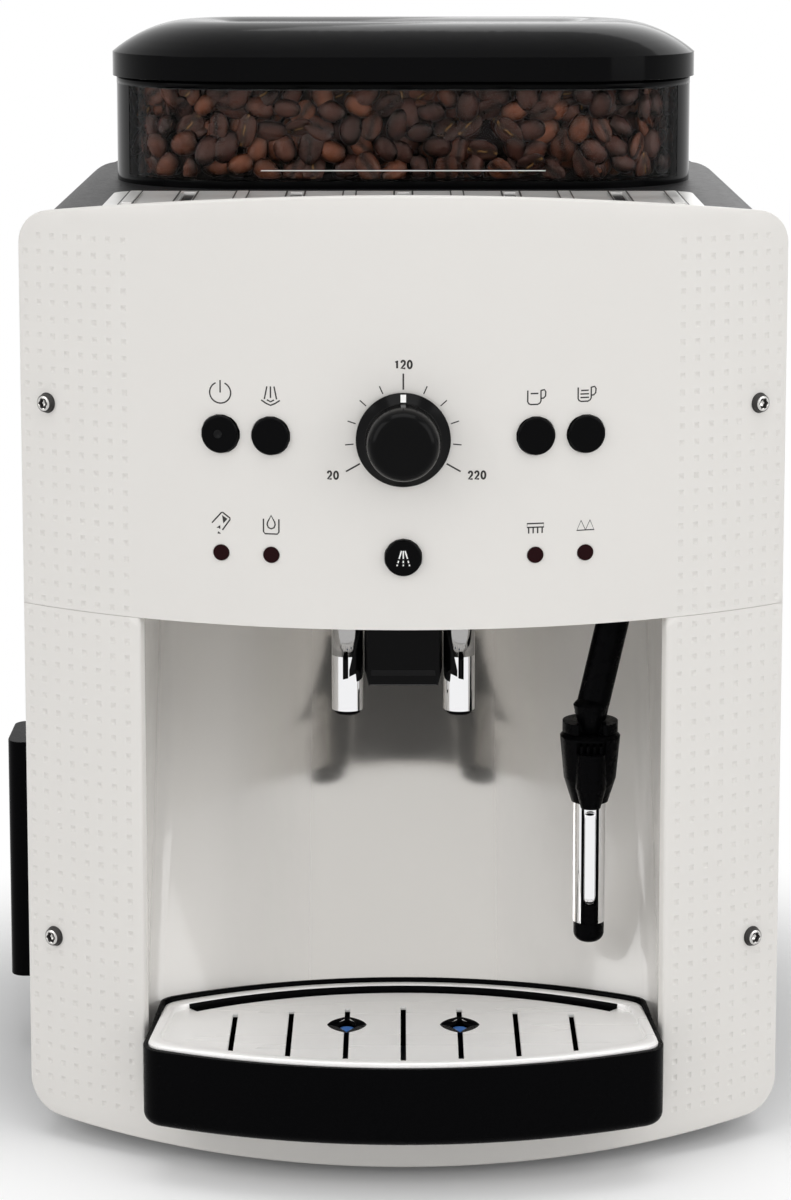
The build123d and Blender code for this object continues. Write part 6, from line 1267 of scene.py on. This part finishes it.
def fill_core():
    """Dark mass behind the shown beans, painted shade for the beans deeper in the fill."""
    verts = fill_plan(CORE_LEVELS, [i / CORE_STEPS for i in range(CORE_STEPS)])
    faces = tube_faces(0, len(CORE_LEVELS), CORE_STEPS)
    return piece("bean_core", verts, faces, bean_dark, "housing")


# Trim of the hopper window, and painted shade on the cup plate

WINDOW_OUT = -3.08
BAND_LOW = 338.6
BAND_HIGH = 341.05
BAND_WALL = 0.3
TRIM_STEPS = 160
BAND_BACK = 11
LINE_HALF = 48.0
LINE_Z = 311.2
LINE_RISE = 0.17


def window_trim():
    """Black band along the top of the window, and the fine moulded ridge low on it, in white as a painted
    highlight.
    """
    steps = TRIM_STEPS
    kept = [i for i in range(steps) if fill_edge(i / steps, WINDOW_OUT)[1] < BAND_BACK]
    kept.sort(key=lambda i: (i - steps * 0.6) % steps)
    inner = WINDOW_OUT + BAND_WALL
    levels = ((BAND_LOW, WINDOW_OUT), (BAND_HIGH, WINDOW_OUT), (BAND_HIGH, inner), (BAND_LOW, inner))
    verts = fill_plan(levels, [i / steps for i in kept])
    size = len(kept)
    faces = quads(0, 4, size, closed=False)
    faces += [(3 * size + i, 3 * size + i + 1, i + 1, i) for i in range(size - 1)]
    piece("window_top_band", verts, faces, gloss_black, "housing")
    front = HOPPER_Y - FILL_HALF_Y + WINDOW_OUT
    # The ridge is modelled; its opaque white is a painted highlight
    section = ((front, LINE_Z - LINE_RISE), (front - 0.1, LINE_Z), (front, LINE_Z + LINE_RISE),
               (front + 0.12, LINE_Z))
    verts = [(x, y, z) for x in (-LINE_HALF, LINE_HALF) for y, z in section]
    piece("window_line", verts, tube_faces(0, 2, 4), white_mark_and_highlight, "housing",
          smooth=False)


PLATE_LEVEL = 306.22
PLATE_CLEAR = 10.0
PLATE_LINES_BACK = -58.0
PLATE_RIBS = (-88.5, -53.1, -17.7, 17.7, 53.1, 88.5)
PLATE_SLOTS = (-70.8, -35.4, 0.0, 35.4, 70.8)


def plate_painted_shade_lines():
    """Painted shade beside the plate's ribs and slots: dark lines along their pressed edges."""
    verts, faces = [], []
    for xs, away, width in ((PLATE_RIBS, 1.9, 0.45), (PLATE_SLOTS, 2.7, 0.6)):
        for middle in xs:
            front = ARC_Y - sqrt(PANEL_RADIUS**2 - middle**2) + PLATE_CLEAR
            for side in (-1, 1):
                near, far = middle + side * away, middle + side * (away + width)
                faces.append(tuple(range(len(verts), len(verts) + 4)))
                verts += flat_strip(near, far, (front, PLATE_LEVEL), (PLATE_LINES_BACK, PLATE_LEVEL))
    piece("plate_painted_shade_lines", verts, faces, print_ink_and_shade, "housing", smooth=False)


window_trim()
plate_painted_shade_lines()
heap = fill_with_beans()
fill_core()
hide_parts("coffee_beans")


# Stage, lights and camera

PURE_WHITE = (1, 1, 1, 1)
WORLD_LIGHT = 0.32
FLOOR_HALF = 6.0
FLOOR_NEAR = 0.12
FLOOR_FAR = 0.25

# Name, place, target, size, power and whether mirrors show it
LAMPS = (
    ("key_left", (-1.7, -1.15, 1.1), (0, -0.05, 0.18), (1.3, 1.7), 14.5, True),
    ("key_right", (1.7, -1.05, 1.0), (0, -0.05, 0.18), (1.3, 1.7), 14.5, True),
    ("top_light", (0, -0.4, 1.85), (0, -0.1, 0.1), (1.5, 1.0), 10, True),
    ("front_high", (0, -1.35, 1.35), (0, -0.1, 0.08), (1.2, 0.7), 1.2, False),
    ("back_light", (0.6, 1.6, 1.2), (0, 0, 0.2), (1.4, 1.2), 6, True),
    ("low_fill", (0, -1.7, 0.3), (0, -0.05, 0.12), (1.8, 0.5), 2.4, False),
)
for name, place, target, size, power, mirrored_too in LAMPS:
    lamp_data = bpy.data.lights.new(name, "AREA")
    lamp_data.shape = "RECTANGLE"
    lamp_data.size, lamp_data.size_y = size
    lamp_data.energy = power
    lamp = bpy.data.objects.new(name, lamp_data)
    scene.collection.objects.link(lamp)
    lamp.location = place
    lamp.rotation_euler = (Vector(target) - Vector(place)).to_track_quat("-Z", "Y").to_euler()
    lamp.visible_glossy = mirrored_too


def seen_directly(tree):
    """1 for camera, mirror and glass rays, 0 for the rays that carry the light on surfaces."""
    path = new_node(tree, "ShaderNodeLightPath", {})
    total = path.outputs["Is Camera Ray"]
    for kind in ("Is Glossy Ray", "Is Transmission Ray"):
        total = maths(tree, "MAXIMUM", total, path.outputs[kind])
    return total


def mixed_to_output(tree, factor, first, second, output):
    """Sends a mix of two shaders to the output of the tree."""
    inputs = {"Fac": factor, 1: first.outputs[0], 2: second.outputs[0]}
    made = new_node(tree, "ShaderNodeMixShader", inputs)
    fill(tree, tree.nodes[output], {"Surface": made.outputs[0]})


def white_world():
    """Even soft light, with plain white where the camera or a mirror looks past the object."""
    world = bpy.data.worlds.new("studio")
    scene.world = world
    world.use_nodes = True
    tree = world.node_tree
    light = tree.nodes["Background"]
    fill(tree, light, {"Color": PURE_WHITE, "Strength": WORLD_LIGHT})
    shown = new_node(tree, "ShaderNodeBackground", {"Color": PURE_WHITE, "Strength": 1.0})
    mixed_to_output(tree, seen_directly(tree), light, shown, "World Output")


def white_floor():
    """Pale floor that keeps the shadow near the object and fades to the white background."""
    mesh = bpy.data.meshes.new("floor")
    mesh.from_pydata([(x * FLOOR_HALF, y * FLOOR_HALF, 0) for x, y in SQUARE], [], [(0, 1, 2, 3)])
    floor = bpy.data.objects.new("floor", mesh)
    scene.collection.objects.link(floor)
    made = surface("floor_pale", (0.92, 0.92, 0.92), 0.6, tone=0.01, grain=300, grain_depth=0.01,
                   specular=0.1)
    tree = made.node_tree
    place = new_node(tree, "ShaderNodeTexCoord", {})
    distance = new_node(tree, "ShaderNodeVectorMath", {0: place.outputs["Object"]}, operation="LENGTH")
    fade = remapped(tree, distance.outputs["Value"], FLOOR_NEAR, FLOOR_FAR, soft=True)
    share = maths(tree, "MULTIPLY", fade, seen_directly(tree))
    glow = new_node(tree, "ShaderNodeEmission", {})
    mixed_to_output(tree, share, tree.nodes["Principled BSDF"], glow, "Material Output")
    mesh.materials.append(made)


white_world()
white_floor()

FRAME_HEIGHT = 1200
FOCAL_PIXELS = 3300.0
CAMERA_TILT = 7.8
CAMERA_PLACE = (0, -1.15, 0.407)
CAMERA_SHIFT = (-0.0065, -0.22)
SENSOR_HEIGHT = 36.0
camera_data = bpy.data.cameras.new("camera")
camera = bpy.data.objects.new("camera", camera_data)
scene.collection.objects.link(camera)
scene.camera = camera
camera_data.sensor_fit = "VERTICAL"
camera_data.sensor_height = SENSOR_HEIGHT
camera_data.lens = FOCAL_PIXELS / FRAME_HEIGHT * SENSOR_HEIGHT
camera_data.shift_x, camera_data.shift_y = CAMERA_SHIFT
camera_data.clip_start = 0.05
camera.location = CAMERA_PLACE
camera.rotation_euler = (radians(90 - CAMERA_TILT), 0, 0)

scene.view_settings.view_transform = "Standard"
